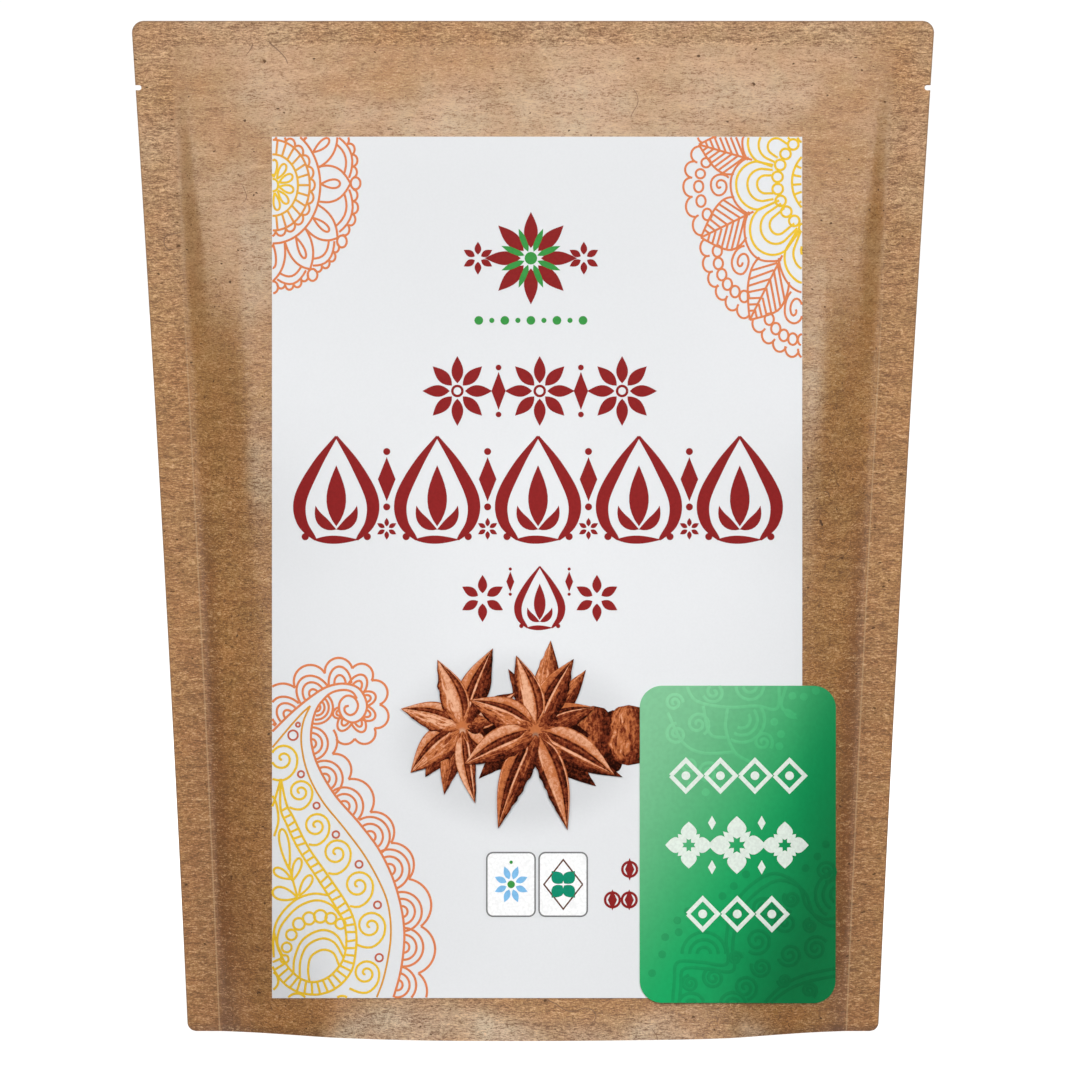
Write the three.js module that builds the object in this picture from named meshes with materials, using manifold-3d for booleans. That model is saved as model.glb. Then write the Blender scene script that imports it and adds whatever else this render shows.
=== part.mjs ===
// Kraft paper stand-up pouch, heat-sealed shut and full, standing on its bottom gusset,
// with a tall pale label and a rounded green badge stuck to its front.
// Millimetres, +Z up, front towards -Y, origin under the middle of the base.

import * as THREE from "three";
import { mergeVertices } from "three/addons/utils/BufferGeometryUtils.js";
import Module from "manifold-3d";

const wasm = await Module();
wasm.setup();

// ---- Driving dimensions ----

const HEIGHT = 240.7;
const WIDTH = { base: 164.6, middle: 176.74, top: 191.2 }; // over the side seals
const CORNER = { base: 2, top: 3 }; // radius of the outer corners
const FILM = 0.6; // front and back laminate together, where they are sealed
const SIDE_SEAL = { base: 7.6, top: 8.6 }; // width of the flat side seals
const TOP_SEAL = 5.6; // height of the flat top seal

// Each panel swells from the seals: fast just under the top seal, then ever slower.
const SWELL = { limit: 35, reach: 83, squareness: 2.6 };

// Tear notches in both side seals, a little under the top seal.
const NOTCH = { level: 224.8, depth: 1.4, height: 1.2 };

// Bottom gusset: a rim to stand on, a trough inside it, a belly that touches down again
// in the middle, and a tent at each end, where the folded film rises between the panels.
const GUSSET = {
  rim: 1.2,
  trough: 4,
  troughShare: 0.55,
  tent: 14,
  tentStart: 36,
  tentFull: 66,
  clearance: 0.2,
};

// The stickers, as seen square-on from in front: edges as distances from the middle
// line and from the base. From that point their edges are straight and upright.
const FRONT_VIEW = { distance: 3000, level: 205 };
const LABEL = { left: -62.1, right: 64.05, bottom: 7.86, top: 213.1, corner: 0, lift: 0.4 };
const BADGE = { left: 25.4, right: 71.9, bottom: 6.7, top: 82.4, corner: 5.3, lift: 1.0 };
const STICKER = { thickness: 0.3, grid: 8 }; // the grid is the largest facet

// How finely the panels are divided.
const PANEL_COLUMNS = 13; // from the middle line to one side seal
const PANEL_ROWS = 26;
const COLUMN_CROWDING = 1.2; // radians; more gives narrower columns at the seals

// ---- The form of the filled pouch ----

// Half the pouch's width: it tapers to the base along a slightly bowed line.
function halfWidth(z) {
  const q = z / HEIGHT;
  const slope = 4 * WIDTH.middle - 3 * WIDTH.base - WIDTH.top;
  const bow = 2 * (WIDTH.base + WIDTH.top) - 4 * WIDTH.middle;
  return (WIDTH.base + slope * q + bow * q * q) / 2;
}

// Half the width of the swollen panel between the side seals.
function panelHalfWidth(z) {
  return halfWidth(z) - THREE.MathUtils.lerp(SIDE_SEAL.base, SIDE_SEAL.top, z / HEIGHT);
}

// How far either panel stands out from the flat seals.
function swell(x, z) {
  const below = HEIGHT - TOP_SEAL - z;
  const across = Math.abs(x) / panelHalfWidth(z);
  if (below <= 0 || across >= 1) return 0;
  const middle = SWELL.limit * (1 - Math.exp(-below / SWELL.reach));
  return middle * (1 - across ** SWELL.squareness);
}

// A point of the front, raised along the surface's normal.
function onFront(x, z, lift) {
  const step = 0.05;
  const normal = new THREE.Vector3(
    (swell(x - step, z) - swell(x + step, z)) / (2 * step),
    -1,
    (swell(x, z - step) - swell(x, z + step)) / (2 * step),
  ).normalize();
  return new THREE.Vector3(x, -FILM / 2 - swell(x, z), z).addScaledVector(normal, lift);
}

// The point of the front that lies behind (across, up) of the front view.
function behindView(across, up, lift) {
  let nearer = 0; // share of the way from the seals' plane to the eye
  for (let pass = 0; pass < 8; pass += 1) {
    const x = across * (1 - nearer);
    const z = up + (FRONT_VIEW.level - up) * nearer;
    nearer = (FILM / 2 + swell(x, z)) / FRONT_VIEW.distance;
  }
  return onFront(across * (1 - nearer), up + (FRONT_VIEW.level - up) * nearer, lift);
}

// ---- Meshes ----

// A closed geometry between two equal grids of points, rows upwards and columns
// towards +X: the near grid faces -Y and the far one +Y.
function slab(near, far) {
  const rows = near.length;
  const columns = near[0].length;
  const positions = [near, far].flat(2).flatMap((point) => point.toArray());
  const at = (layer, row, column) => (layer * rows + row) * columns + column;
  const index = [];
  const quad = (a, b, c, d) => index.push(a, b, c, a, c, d);
  for (let r = 0; r < rows - 1; r += 1) {
    for (let c = 0; c < columns - 1; c += 1) {
      quad(at(0, r, c), at(0, r, c + 1), at(0, r + 1, c + 1), at(0, r + 1, c));
      quad(at(1, r, c), at(1, r + 1, c), at(1, r + 1, c + 1), at(1, r, c + 1));
    }
    quad(at(0, r, 0), at(0, r + 1, 0), at(1, r + 1, 0), at(1, r, 0));
    const last = columns - 1;
    quad(at(0, r, last), at(1, r, last), at(1, r + 1, last), at(0, r + 1, last));
  }
  for (let c = 0; c < columns - 1; c += 1) {
    const top = rows - 1;
    quad(at(0, 0, c), at(1, 0, c), at(1, 0, c + 1), at(0, 0, c + 1));
    quad(at(0, top, c), at(0, top, c + 1), at(1, top, c + 1), at(1, top, c));
  }
  return new THREE.BufferGeometry()
    .setAttribute("position", new THREE.Float32BufferAttribute(positions, 3))
    .setIndex(index);
}

function solid(geometry) {
  geometry.deleteAttribute("normal");
  geometry.deleteAttribute("uv");
  const merged = mergeVertices(geometry);
  return new wasm.Manifold(
    new wasm.Mesh({
      numProp: 3,
      vertProperties: new Float32Array(merged.attributes.position.array),
      triVerts: new Uint32Array(merged.index.array),
    }),
  );
}

function geometryOf(manifold) {
  const mesh = manifold.getMesh();
  return new THREE.BufferGeometry()
    .setAttribute("position", new THREE.BufferAttribute(mesh.vertProperties, 3))
    .setIndex(new THREE.BufferAttribute(mesh.triVerts, 1));
}

function range(count, place) {
  return Array.from({ length: count }, (unused, i) => place(i));
}

// Steps from 0 to 1 that round off a corner: 0 at its end, 1 where the side is straight.
const CORNER_STEPS = [0, 0.08, 0.3, 0.62, 1];

// How far a rounded corner pulls the side in, at a height above the corner's end.
function cornerInset(radius, above) {
  if (above >= radius) return 0;
  return radius - Math.sqrt(radius ** 2 - (radius - above) ** 2);
}

// ---- The pouch ----

function pouchLevels() {
  const sealLevel = HEIGHT - TOP_SEAL;
  return [
    ...CORNER_STEPS.map((step) => step * CORNER.base),
    ...range(PANEL_ROWS, (i) =>
      THREE.MathUtils.lerp(CORNER.base, sealLevel, (i + 1) / PANEL_ROWS),
    ),
    ...CORNER_STEPS.toReversed().map((step) => HEIGHT - step * CORNER.top),
  ];
}

// The places along one level: outer edge, crease, panel, crease, outer edge.
function pouchColumns(z) {
  const inset = cornerInset(CORNER.base, z) + cornerInset(CORNER.top, HEIGHT - z);
  const edge = halfWidth(z) - inset;
  const right = range(PANEL_COLUMNS, (i) => {
    const angle = (COLUMN_CROWDING * (i + 1)) / PANEL_COLUMNS;
    return (panelHalfWidth(z) * Math.sin(angle)) / Math.sin(COLUMN_CROWDING);
  });
  const half = [...right, edge];
  return [...half.toReversed().map((x) => -x), 0, ...half];
}

function filledBag() {
  const front = pouchLevels().map((z) => pouchColumns(z).map((x) => onFront(x, z, 0)));
  const back = front.map((row) => row.map((p) => new THREE.Vector3(p.x, -p.y, p.z)));
  return solid(slab(front, back));
}

// Height of the film under the base; inward runs from 0 at the rim to 1 at the fold.
function gussetHeight(x, inward) {
  const share = Math.min(inward / GUSSET.troughShare, 1);
  const middle = share < 1 ? GUSSET.trough * Math.sin(Math.PI * share) : -1;
  const ends = THREE.MathUtils.smoothstep(Math.abs(x), GUSSET.tentStart, GUSSET.tentFull);
  return THREE.MathUtils.lerp(middle, GUSSET.tent * inward, ends) - GUSSET.clearance;
}

// What the gusset leaves hollow under the bag, as a solid that reaches below the base.
function gussetHollow() {
  const columns = 15;
  const rows = 8;
  const thinnest = GUSSET.rim + 0.15;
  const reach = 1 - thinnest / swell(0, 0);
  const end = panelHalfWidth(0) * reach ** (1 / SWELL.squareness);
  const xs = range(2 * columns + 1, (i) => {
    const angle = (Math.PI / 2) * (i / columns - 1);
    return end * Math.sin(angle);
  });
  const inwards = range(2 * rows + 1, (i) => 1 - Math.abs(i / rows - 1));
  const side = (i) => Math.sign(i - rows);
  const roof = inwards.map((inward, i) =>
    xs.map((x) => {
      const y = side(i) * (1 - inward) * (swell(x, 0) - GUSSET.rim);
      return new THREE.Vector3(x, y, gussetHeight(x, inward));
    }),
  );
  const floor = roof.map((row) => row.map((p) => new THREE.Vector3(p.x, p.y, -3)));
  return solid(slab(floor, roof));
}

// A slot with a round inner end, cut through the side seal at +X.
function notchCutter() {
  const radius = NOTCH.height / 2;
  const inner = halfWidth(NOTCH.level) - NOTCH.depth + radius;
  const outside = inner + NOTCH.depth + 1;
  const outline = new THREE.Shape()
    .moveTo(outside, NOTCH.level - radius)
    .lineTo(outside, NOTCH.level + radius)
    .lineTo(inner, NOTCH.level + radius)
    .absarc(inner, NOTCH.level, radius, Math.PI / 2, (3 * Math.PI) / 2, false);
  const depth = 8 * FILM;
  return new THREE.ExtrudeGeometry(outline, { depth, bevelEnabled: false, curveSegments: 8 })
    .translate(0, 0, -depth / 2)
    .rotateX(Math.PI / 2);
}

function pouch() {
  const body = filledBag()
    .subtract(gussetHollow())
    .subtract(solid(notchCutter()))
    .subtract(solid(notchCutter().rotateZ(Math.PI)));
  return geometryOf(body);
}

// ---- Stickers ----

// A rounded rectangle of the front view, laid on the front of the pouch.
function sticker({ left, right, bottom, top, corner, lift }) {
  const between = Math.ceil((top - bottom - 2 * corner) / STICKER.grid);
  const levels = [
    ...CORNER_STEPS.map((step) => bottom + step * corner),
    ...range(between - 1, (i) =>
      THREE.MathUtils.lerp(bottom + corner, top - corner, (i + 1) / between),
    ),
    ...CORNER_STEPS.toReversed().map((step) => top - step * corner),
  ].filter((level, i, all) => level !== all[i - 1]); // a square corner has one level
  const columns = Math.ceil((right - left) / STICKER.grid) + 1;
  const face = (raised) =>
    levels.map((up) => {
      const inset = cornerInset(corner, up - bottom) + cornerInset(corner, top - up);
      return range(columns, (i) => {
        const across = THREE.MathUtils.lerp(left + inset, right - inset, i / (columns - 1));
        return behindView(across, up, raised);
      });
    });
  return slab(face(lift + STICKER.thickness), face(lift));
}

// ---- Assembly ----

const FINISH = {
  kraft: { color: "#c3a177", roughness: 0.72 },
  label: { color: "#e6e7e9", roughness: 0.55 },
  badge: { color: "#2ba268", roughness: 0.45 },
};

function piece(name, geometry, finish) {
  geometry.computeVertexNormals();
  const material = new THREE.MeshStandardMaterial({ ...finish, metalness: 0 });
  const mesh = new THREE.Mesh(geometry, material);
  mesh.name = name;
  return mesh;
}

const pack = new THREE.Group();
pack.add(piece("pouch", pouch(), FINISH.kraft));
pack.add(piece("label", sticker(LABEL), FINISH.label));
pack.add(piece("badge", sticker(BADGE), FINISH.badge));

export default pack;
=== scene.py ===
"""Kraft paper stand-up pouch: the filled bag, its two stickers and their print."""

import math

import bpy
import numpy as np
from bpy.props import FloatProperty, FloatVectorProperty, PointerProperty
from bpy.types import Operator, Panel, PropertyGroup
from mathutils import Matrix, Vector


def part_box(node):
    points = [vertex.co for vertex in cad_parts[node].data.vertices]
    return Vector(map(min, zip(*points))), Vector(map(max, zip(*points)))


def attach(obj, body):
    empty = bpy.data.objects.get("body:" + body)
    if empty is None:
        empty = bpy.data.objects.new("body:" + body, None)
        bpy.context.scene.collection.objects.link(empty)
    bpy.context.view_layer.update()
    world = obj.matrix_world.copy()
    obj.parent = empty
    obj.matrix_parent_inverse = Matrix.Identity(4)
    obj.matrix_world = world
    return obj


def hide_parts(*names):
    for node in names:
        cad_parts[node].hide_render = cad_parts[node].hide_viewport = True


bl_info = {
    "name": "Kraft Stand-up Pouch",
    "version": (1, 0, 0),
    "blender": (4, 5, 0),
    "location": "3D View > Sidebar > Pouch",
    "description": "A filled kraft paper pouch with a pale label and a green badge",
    "category": "Add Mesh",
}

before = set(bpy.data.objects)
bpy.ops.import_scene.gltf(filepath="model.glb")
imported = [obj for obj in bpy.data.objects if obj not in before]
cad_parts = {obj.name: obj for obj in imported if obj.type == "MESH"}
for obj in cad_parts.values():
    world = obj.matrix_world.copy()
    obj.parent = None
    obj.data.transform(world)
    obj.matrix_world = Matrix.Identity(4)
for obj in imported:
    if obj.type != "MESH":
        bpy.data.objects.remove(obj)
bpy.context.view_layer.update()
_, POUCH_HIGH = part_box("pouch")
MM = 0.001


# ---- Settings ----


def length(name, description, millimetres):
    return FloatProperty(
        name=name, description=description, default=millimetres * MM, unit="LENGTH", precision=5
    )


def colour(name, description, rgb):
    return FloatVectorProperty(
        name=name, description=description, default=rgb, size=3, subtype="COLOR", min=0, max=1
    )


class PouchSizes(PropertyGroup):
    """Sizes of the bag; the film's form follows from them."""

    height: FloatProperty(
        name="Height", description="Base to top edge", default=POUCH_HIGH[2], unit="LENGTH"
    )
    width_top: length("Top width", "Over the side seals, at the top edge", 191.2)
    width_middle: length("Middle width", "Over the side seals, halfway up", 176.74)
    width_base: length("Base width", "Over the side seals, at the base", 164.6)
    film: length("Film", "Front and back laminate together, where sealed", 0.5)
    side_seal_top: length("Side seal, top", "Width of a side seal at the top", 8.6)
    side_seal_base: length("Side seal, base", "Width of a side seal at the base", 7.6)
    top_seal: length("Top seal", "Height of the top seal", 5.6)
    outer_corner: length("Outer corner", "Radius of the bag's top corners", 3.0)
    base_corner: length("Base corner", "Radius of the bag's bottom corners", 2.0)
    inner_corner: length("Inner corner", "Radius where side and top seal meet", 2.6)
    swell_limit: length("Swell", "How far a panel would stand out at great depth", 35.0)
    swell_reach: length("Swell reach", "How far down the panel swells most", 83.0)
    squareness: FloatProperty(
        name="Squareness", description="Higher gives a flatter front", default=2.2, min=1.5
    )
    wall_share: FloatProperty(
        name="Wall share", description="Of the depth, reached by the upper wall", default=0.34
    )
    wall_width: length("Wall width", "Of the narrow wall, where it starts to fade", 4.6)
    wall_width_top: length("Wall width, top", "The same near the top seal", 3.8)
    flank_share: FloatProperty(
        name="Flank share", description="Of the depth, reached by the flank", default=0.41
    )
    flank_width: length("Flank width", "Of the steep flank, seal to fold", 14.0)
    flank_level: length("Flank level", "Where the wall starts to turn into the flank", 196.0)
    crease_height: length("Crease height", "Of the ridge along the side seals", 0.13)
    notch_level: length("Notch level", "Height of the tear notches", 224.8)
    notch_depth: length("Notch depth", "How deep the tear notches cut in", 1.4)
    notch_height: length("Notch height", "Width of the notches' slots", 1.2)
    skirt: length("Skirt", "Thickness of the rim that the pouch stands on", 0.6)
    trough: length("Trough", "Height of the hollow inside the rim", 4.0)
    tent: length("Tent", "Height of the folded gusset at its ends", 14.0)


class StickerSizes(PropertyGroup):
    """Edges of the stickers, as seen square-on from in front."""

    view_distance: length("View distance", "From where the stickers' edges look straight", 3000.0)
    view_level: length("View level", "Height of that point", 205.0)
    label_left: length("Label left", "Left edge of the label", -62.1)
    label_right: length("Label right", "Right edge of the label", 64.05)
    label_bottom: length("Label bottom", "Bottom edge of the label", 7.86)
    label_top: length("Label top", "Top edge of the label", 213.1)
    badge_left: length("Badge left", "Left edge of the badge", 25.4)
    badge_right: length("Badge right", "Right edge of the badge", 71.9)
    badge_bottom: length("Badge bottom", "Bottom edge of the badge", 6.7)
    badge_top: length("Badge top", "Top edge of the badge", 82.4)
    badge_corner: length("Badge corner", "Radius of the badge's corners", 5.3)
    label_lift: length("Label lift", "Top of the label over the film", 0.18)
    badge_lift: length("Badge lift", "Top of the badge over the film", 0.4)


class PouchColours(PropertyGroup):
    """Colours of the paper and the inks, in linear light."""

    kraft: colour("Kraft", "Brown paper", (0.405, 0.193, 0.052))
    # Painted highlight: a paler brown that stands in for the lamps' sheen on the panel.
    kraft_highlight: colour("Pale kraft", "Painted highlight on the brown paper", (0.52, 0.392, 0.266))
    kraft_seal: colour("Sealed kraft", "Brown paper where it is pressed", (0.385, 0.178, 0.043))
    fibre_light: colour("Light fibres", "Palest strands in the paper", (0.58, 0.36, 0.18))
    fibre_dark: colour("Dark fibres", "Darkest strands in the paper", (0.20, 0.078, 0.014))
    fleck: colour("Flecks", "Bark specks in the paper", (0.10, 0.042, 0.013))
    # Painted highlight: a thin pale line that stands in for the lit ridge along the crease.
    crease_highlight: colour("Crease highlight", "Painted highlight along the crease", (0.55, 0.36, 0.19))
    cut_edge: colour("Cut edge", "Where the laminate's layers show", (0.20, 0.10, 0.03))
    label: colour("Label", "Pale label paper", (0.775, 0.785, 0.80))
    badge_light: colour("Badge light", "Upper left of the badge", (0.22, 0.54, 0.30))
    badge_green: colour("Badge green", "Middle of the badge", (0.005, 0.368, 0.112))
    badge_dark: colour("Badge dark", "Lower right of the badge", (0.004, 0.20, 0.060))


class PrintColours(PropertyGroup):
    """Colours of the printing inks, in linear light."""

    red: colour("Red", "Friezes and emblem", (0.262, 0.015, 0.015))
    orange: colour("Orange", "Outer lines of the ornaments", (0.74, 0.225, 0.085))
    amber: colour("Amber", "Outline of the paisley's drop", (0.72, 0.33, 0.045))
    yellow: colour("Yellow", "Inner lines of the ornaments", (0.86, 0.55, 0.036))
    berry: colour("Berry", "Small rings in the paisley", (0.55, 0.13, 0.075))
    green: colour("Green", "Buds of the emblem", (0.045, 0.30, 0.06))
    blue: colour("Blue", "Flower on the left card", (0.22, 0.50, 0.80))
    teal: colour("Teal", "Flower on the right card", (0.005, 0.26, 0.15))
    brown: colour("Brown", "Line on the right card", (0.12, 0.045, 0.025))
    grey: colour("Grey", "Outline of the cards", (0.19, 0.19, 0.19))
    card: colour("Card", "White of the cards", (0.95, 0.95, 0.95))
    white: colour("White", "Rows on the badge", (0.765, 0.845, 0.765))
    anise_lip: colour("Pod lips", "Pale rims of the split pods", (0.80, 0.43, 0.27))
    anise_inside: colour("Pod inside", "Inner wall of the pods", (0.53, 0.16, 0.052))
    anise_husk: colour("Husk", "Wrinkled outside of the pods", (0.19, 0.032, 0.012))
    anise_dark: colour("Husk shadow", "Folds and edges of the husk", (0.016, 0.003, 0.0015))


def edges_of(name, stickers):
    """Left, right, bottom and top of a sticker."""
    return [getattr(stickers, f"{name}_{side}") for side in ("left", "right", "bottom", "top")]


# ---- The form of the filled pouch ----


# How gently the film leaves the seals, at heights up the bag.
SOFTNESS_LEVELS = [0.0, 0.10, 0.15, 0.20]
SOFTNESS = [0.0008, 0.0014, 0.0014, 0.0025]
WALL_LEVELS = [0.188, 0.205]  # between them the wall narrows to its top width
WALL_FOLD = 0.0006  # softness of the fold at the wall's inner edge
FLANK_FOLD = 0.0012  # the same at the flank's inner edge
FLANK_TURN = 0.044  # height over which the wall turns into the flank
FLANK_FADE_LEVEL = 0.150  # where the flank starts to fade downwards
FLANK_FADE = 0.045  # height over which it fades
FLANK_LOSS = 0.6  # share of the flank that is lost there
TOP_SOFTNESS = 0.0006  # how gently the film leaves the top seal
PINCH = 0.5  # how much the gusset's ends hold the panels in
FLARE = 0.0027  # how far the bottom edge turns out


def half_width(z, s):
    """Half the bag's width over the side seals, which bow in a little halfway up."""
    q = z / s.height
    slope = 4 * s.width_middle - 3 * s.width_base - s.width_top
    bow = 2 * (s.width_base + s.width_top) - 4 * s.width_middle
    return (s.width_base + slope * q + bow * q * q) / 2


def panel_half_width(z, s):
    """Half the width of the panel between the side seals."""
    seal = s.side_seal_base + (s.side_seal_top - s.side_seal_base) * z / s.height
    return half_width(z, s) - seal


def panel_inset(x, z, s):
    """How far a point lies inside the seals, whose inner corners are round."""
    side = panel_half_width(z, s) - np.abs(x)
    top = s.height - s.top_seal - z
    r = s.inner_corner
    corner = r - np.hypot(np.maximum(r - side, 0), np.maximum(r - top, 0))
    return np.where((side < r) & (top < r), corner, np.minimum(side, top))


def outline_distance(x, z, s):
    """How far a point lies inside the bag's cut outline."""
    side = half_width(z, s) - np.abs(x)
    top = s.height - z
    r = s.outer_corner
    corner = r - np.hypot(np.maximum(r - side, 0), np.maximum(r - top, 0))
    return np.where((side < r) & (top < r), corner, np.minimum(side, top))


def eased(distance, softness):
    """A distance that sets off gently: the film can't leave a seal at a sharp angle."""
    return distance - softness * (1 - np.exp(-distance / softness))


def smooth_noise(x, z, cell, seed):
    """Soft random hills of about +-1, one every cell."""
    lattice = np.random.default_rng(seed).uniform(-1, 1, (97, 97))
    u = x / cell + 40
    v = z / cell + 10
    column = np.floor(u).astype(int)
    row = np.floor(v).astype(int)
    fu = u - column
    fv = v - row
    fu = fu * fu * (3 - 2 * fu)
    fv = fv * fv * (3 - 2 * fv)

    def corner(dx, dz):
        return lattice[(column + dx) % 97, (row + dz) % 97]

    low = corner(0, 0) * (1 - fu) + corner(1, 0) * fu
    high = corner(0, 1) * (1 - fu) + corner(1, 1) * fu
    return low * (1 - fv) + high * fv


def ramp(value, start, end):
    """Rises smoothly from 0 at the start to 1 at the end."""
    k = np.clip((value - start) / (end - start), 0, 1)
    return k * k * (3 - 2 * k)


def folded(distance, width, fold):
    """Rises evenly from 0 to 1 over a width, and stays there after a soft fold."""
    start = width - fold * np.log1p(np.exp(width / fold))
    rise = width - fold * np.log1p(np.exp((width - distance) / fold))
    return (rise - start) / (width - start)


def swell(x, z, s):
    """How far the front panel stands out: steep at its sides, with a crown between them."""
    half = panel_half_width(z, s)
    side = np.maximum(half - np.abs(x), 0)
    top = np.maximum(s.height - s.top_seal - z, 0)
    softness = np.interp(z, SOFTNESS_LEVELS, SOFTNESS)
    wall_width = np.interp(z, WALL_LEVELS, [s.wall_width, s.wall_width_top])
    inward = eased(side, softness)
    lower = ramp(s.flank_level - z, 0.0, FLANK_TURN)
    wall = s.wall_share * (1 - lower)
    flank = s.flank_share * lower * (1 - FLANK_LOSS * ramp(FLANK_FADE_LEVEL - z, 0.0, FLANK_FADE))
    shape = wall * folded(inward, eased(wall_width, softness), WALL_FOLD)
    shape = shape + flank * folded(inward, eased(s.flank_width, softness), FLANK_FOLD)
    shape = shape + (1 - wall - flank) * (1 - (1 - inward / half) ** s.squareness)
    middle = s.swell_limit * (1 - np.exp(-eased(top, TOP_SOFTNESS) / s.swell_reach))
    near_corner = (1 - ramp(side, 0.004, 0.030)) * (1 - ramp(z, 0.0, 0.035))
    return middle * shape * (1 - PINCH * near_corner)


def front_depth(x, z, s):
    """How far the front lies before the seals' plane, with the film's small unevenness."""
    inset = panel_inset(x, z, s)
    inside = ramp(inset, 0.0, 0.012)
    waves = 0.00045 * smooth_noise(x, z, 0.042, 3) + 0.00009 * smooth_noise(x, z, 0.015, 4)
    crease = s.crease_height * np.exp(-((inset / 0.00032) ** 2)) * (1 - ramp(z, 0.15, 0.19))
    return s.film / 2 + swell(x, z, s) + waves * inside + crease + flare(x, z)


def flare(x, z):
    """The bottom edge turns outwards a little, most of all in two places."""
    places = np.exp(-(((x + 0.026) / 0.021) ** 2)) + 0.9 * np.exp(-(((x - 0.040) / 0.015) ** 2))
    middle = 0.4 * np.exp(-(((x - 0.010) / 0.020) ** 2))
    return FLARE * (places + middle) * np.exp(-z / 0.007)


def surface_normal(x, z, s):
    """Which way the front faces, from its slope over a short step."""
    step = 0.0002
    dx = (front_depth(x + step, z, s) - front_depth(x - step, z, s)) / (2 * step)
    dz = (front_depth(x, z + step, s) - front_depth(x, z - step, s)) / (2 * step)
    normal = np.stack([-dx, -np.ones_like(dx), -dz], axis=1)
    return normal / np.linalg.norm(normal, axis=1, keepdims=True)


def on_front(across, up, lift, s, stickers):
    """Points over the front that lie behind (across, up) of the front view."""
    nearer = np.zeros_like(across)
    for _ in range(8):
        x = across * (1 - nearer)
        z = up + (stickers.view_level - up) * nearer
        nearer = front_depth(x, z, s) / stickers.view_distance
    points = np.stack([x, -front_depth(x, z, s), z], axis=1)
    return points + surface_normal(x, z, s) * np.reshape(lift, (-1, 1))


# ---- Mesh helpers ----


def get_points(obj):
    flat = np.empty(len(obj.data.vertices) * 3)
    obj.data.vertices.foreach_get("co", flat)
    return flat.reshape(-1, 3)


def set_points(obj, points):
    obj.data.vertices.foreach_set("co", np.ascontiguousarray(points, dtype=float).ravel())
    obj.data.update()


def pick(*objects):
    """Selects only these objects, and makes the first one active."""
    bpy.ops.object.select_all(action="DESELECT")
    for obj in objects:
        obj.select_set(True)
    bpy.context.view_layer.objects.active = objects[0]


def new_grid(name, columns, rows):
    """A grid primitive of the given faces, over -1 to 1 both ways."""
    bpy.ops.object.select_all(action="DESELECT")
    bpy.ops.mesh.primitive_grid_add(x_subdivisions=columns, y_subdivisions=rows, size=2)
    obj = bpy.context.object
    obj.name = obj.data.name = name
    return obj


def apply_modifier(obj, kind, **settings):
    pick(obj)
    modifier = obj.modifiers.new(kind.title(), kind)
    for key, value in settings.items():
        setattr(modifier, key, value)
    bpy.ops.object.modifier_apply(modifier=modifier.name)


def set_attribute(obj, name, values):
    attribute = obj.data.attributes.new(name, "FLOAT", "POINT")
    attribute.data.foreach_set("value", values.astype(np.float32))


def shade(obj, degrees=40):
    pick(obj)
    bpy.ops.object.shade_smooth_by_angle(angle=math.radians(degrees))


def finish_piece(obj, node, material):
    """Hooks a finished piece to the frame and gives it its material."""
    obj.data.materials.clear()
    obj.data.materials.append(material)
    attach(obj, "root")
    if node:
        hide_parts(node)


# ---- Materials ----


def new_material(name):
    material = bpy.data.materials.new(name)
    material.use_nodes = True
    tree = material.node_tree
    return material, tree, tree.nodes["Principled BSDF"]


def add(tree, kind, inputs=None, **settings):
    """Adds a node; an input that is given a socket is linked to it."""
    node = tree.nodes.new(kind)
    for key, value in settings.items():
        setattr(node, key, value)
    for key, value in (inputs or {}).items():
        if isinstance(value, bpy.types.NodeSocket):
            tree.links.new(value, node.inputs[key])
        else:
            node.inputs[key].default_value = value
    return node


def object_points(tree, scale=(1, 1, 1), location=(0, 0, 0)):
    """Object coordinates, stretched for a pattern; the scale is repeats a metre."""
    source = add(tree, "ShaderNodeTexCoord")
    mapping = add(
        tree,
        "ShaderNodeMapping",
        {"Vector": source.outputs["Object"], "Scale": scale, "Location": location},
    )
    return mapping.outputs["Vector"]


def noise(tree, points, scale=1.0, detail=2.0, roughness=0.5, distortion=0.0):
    node = add(
        tree,
        "ShaderNodeTexNoise",
        {
            "Vector": points,
            "Scale": scale,
            "Detail": detail,
            "Roughness": roughness,
            "Distortion": distortion,
        },
    )
    return node.outputs["Fac"]


def remap(tree, value, low, high, to_low=0.0, to_high=1.0):
    node = add(
        tree,
        "ShaderNodeMapRange",
        {"Value": value, "From Min": low, "From Max": high, "To Min": to_low, "To Max": to_high},
        interpolation_type="SMOOTHSTEP",
    )
    return node.outputs["Result"]


def calculate(tree, operation, first, *others):
    """A sum, product, greatest value and so on of one or more values."""
    for other in others or (0.0,):
        node = add(tree, "ShaderNodeMath", {0: first, 1: other}, operation=operation)
        first = node.outputs["Value"]
    return first


def product(tree, *factors):
    return calculate(tree, "MULTIPLY", *factors)


def mesh_value(tree, name):
    """A value that the mesh carries at its points."""
    return add(tree, "ShaderNodeAttribute", attribute_name=name).outputs["Fac"]


def height_in(tree, points):
    return add(tree, "ShaderNodeSeparateXYZ", {"Vector": points}).outputs["Z"]


def distance_in(tree, points):
    node = add(tree, "ShaderNodeVectorMath", {0: points}, operation="LENGTH")
    return node.outputs["Value"]


def mix(tree, factor, first, second, blend="MIX"):
    """Mixes two colours, or blends the second one over the first."""
    node = tree.nodes.new("ShaderNodeMix")
    node.data_type = "RGBA"
    node.blend_type = blend
    for index, value in ((0, factor), (6, first), (7, second)):
        if isinstance(value, bpy.types.NodeSocket):
            tree.links.new(value, node.inputs[index])
        elif index:
            node.inputs[index].default_value = (*value[:3], 1)
        else:
            node.inputs[index].default_value = value
    return node.outputs[2]


def shaded(tree, paper, amount, rgb):
    """Multiplies a paper's colour by another one, where there is an amount of it."""
    return mix(tree, amount, paper, mix(tree, 1.0, paper, rgb, "MULTIPLY"))


def tinted(rgb, factor):
    return tuple(min(channel * factor, 1) for channel in rgb)


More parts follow.
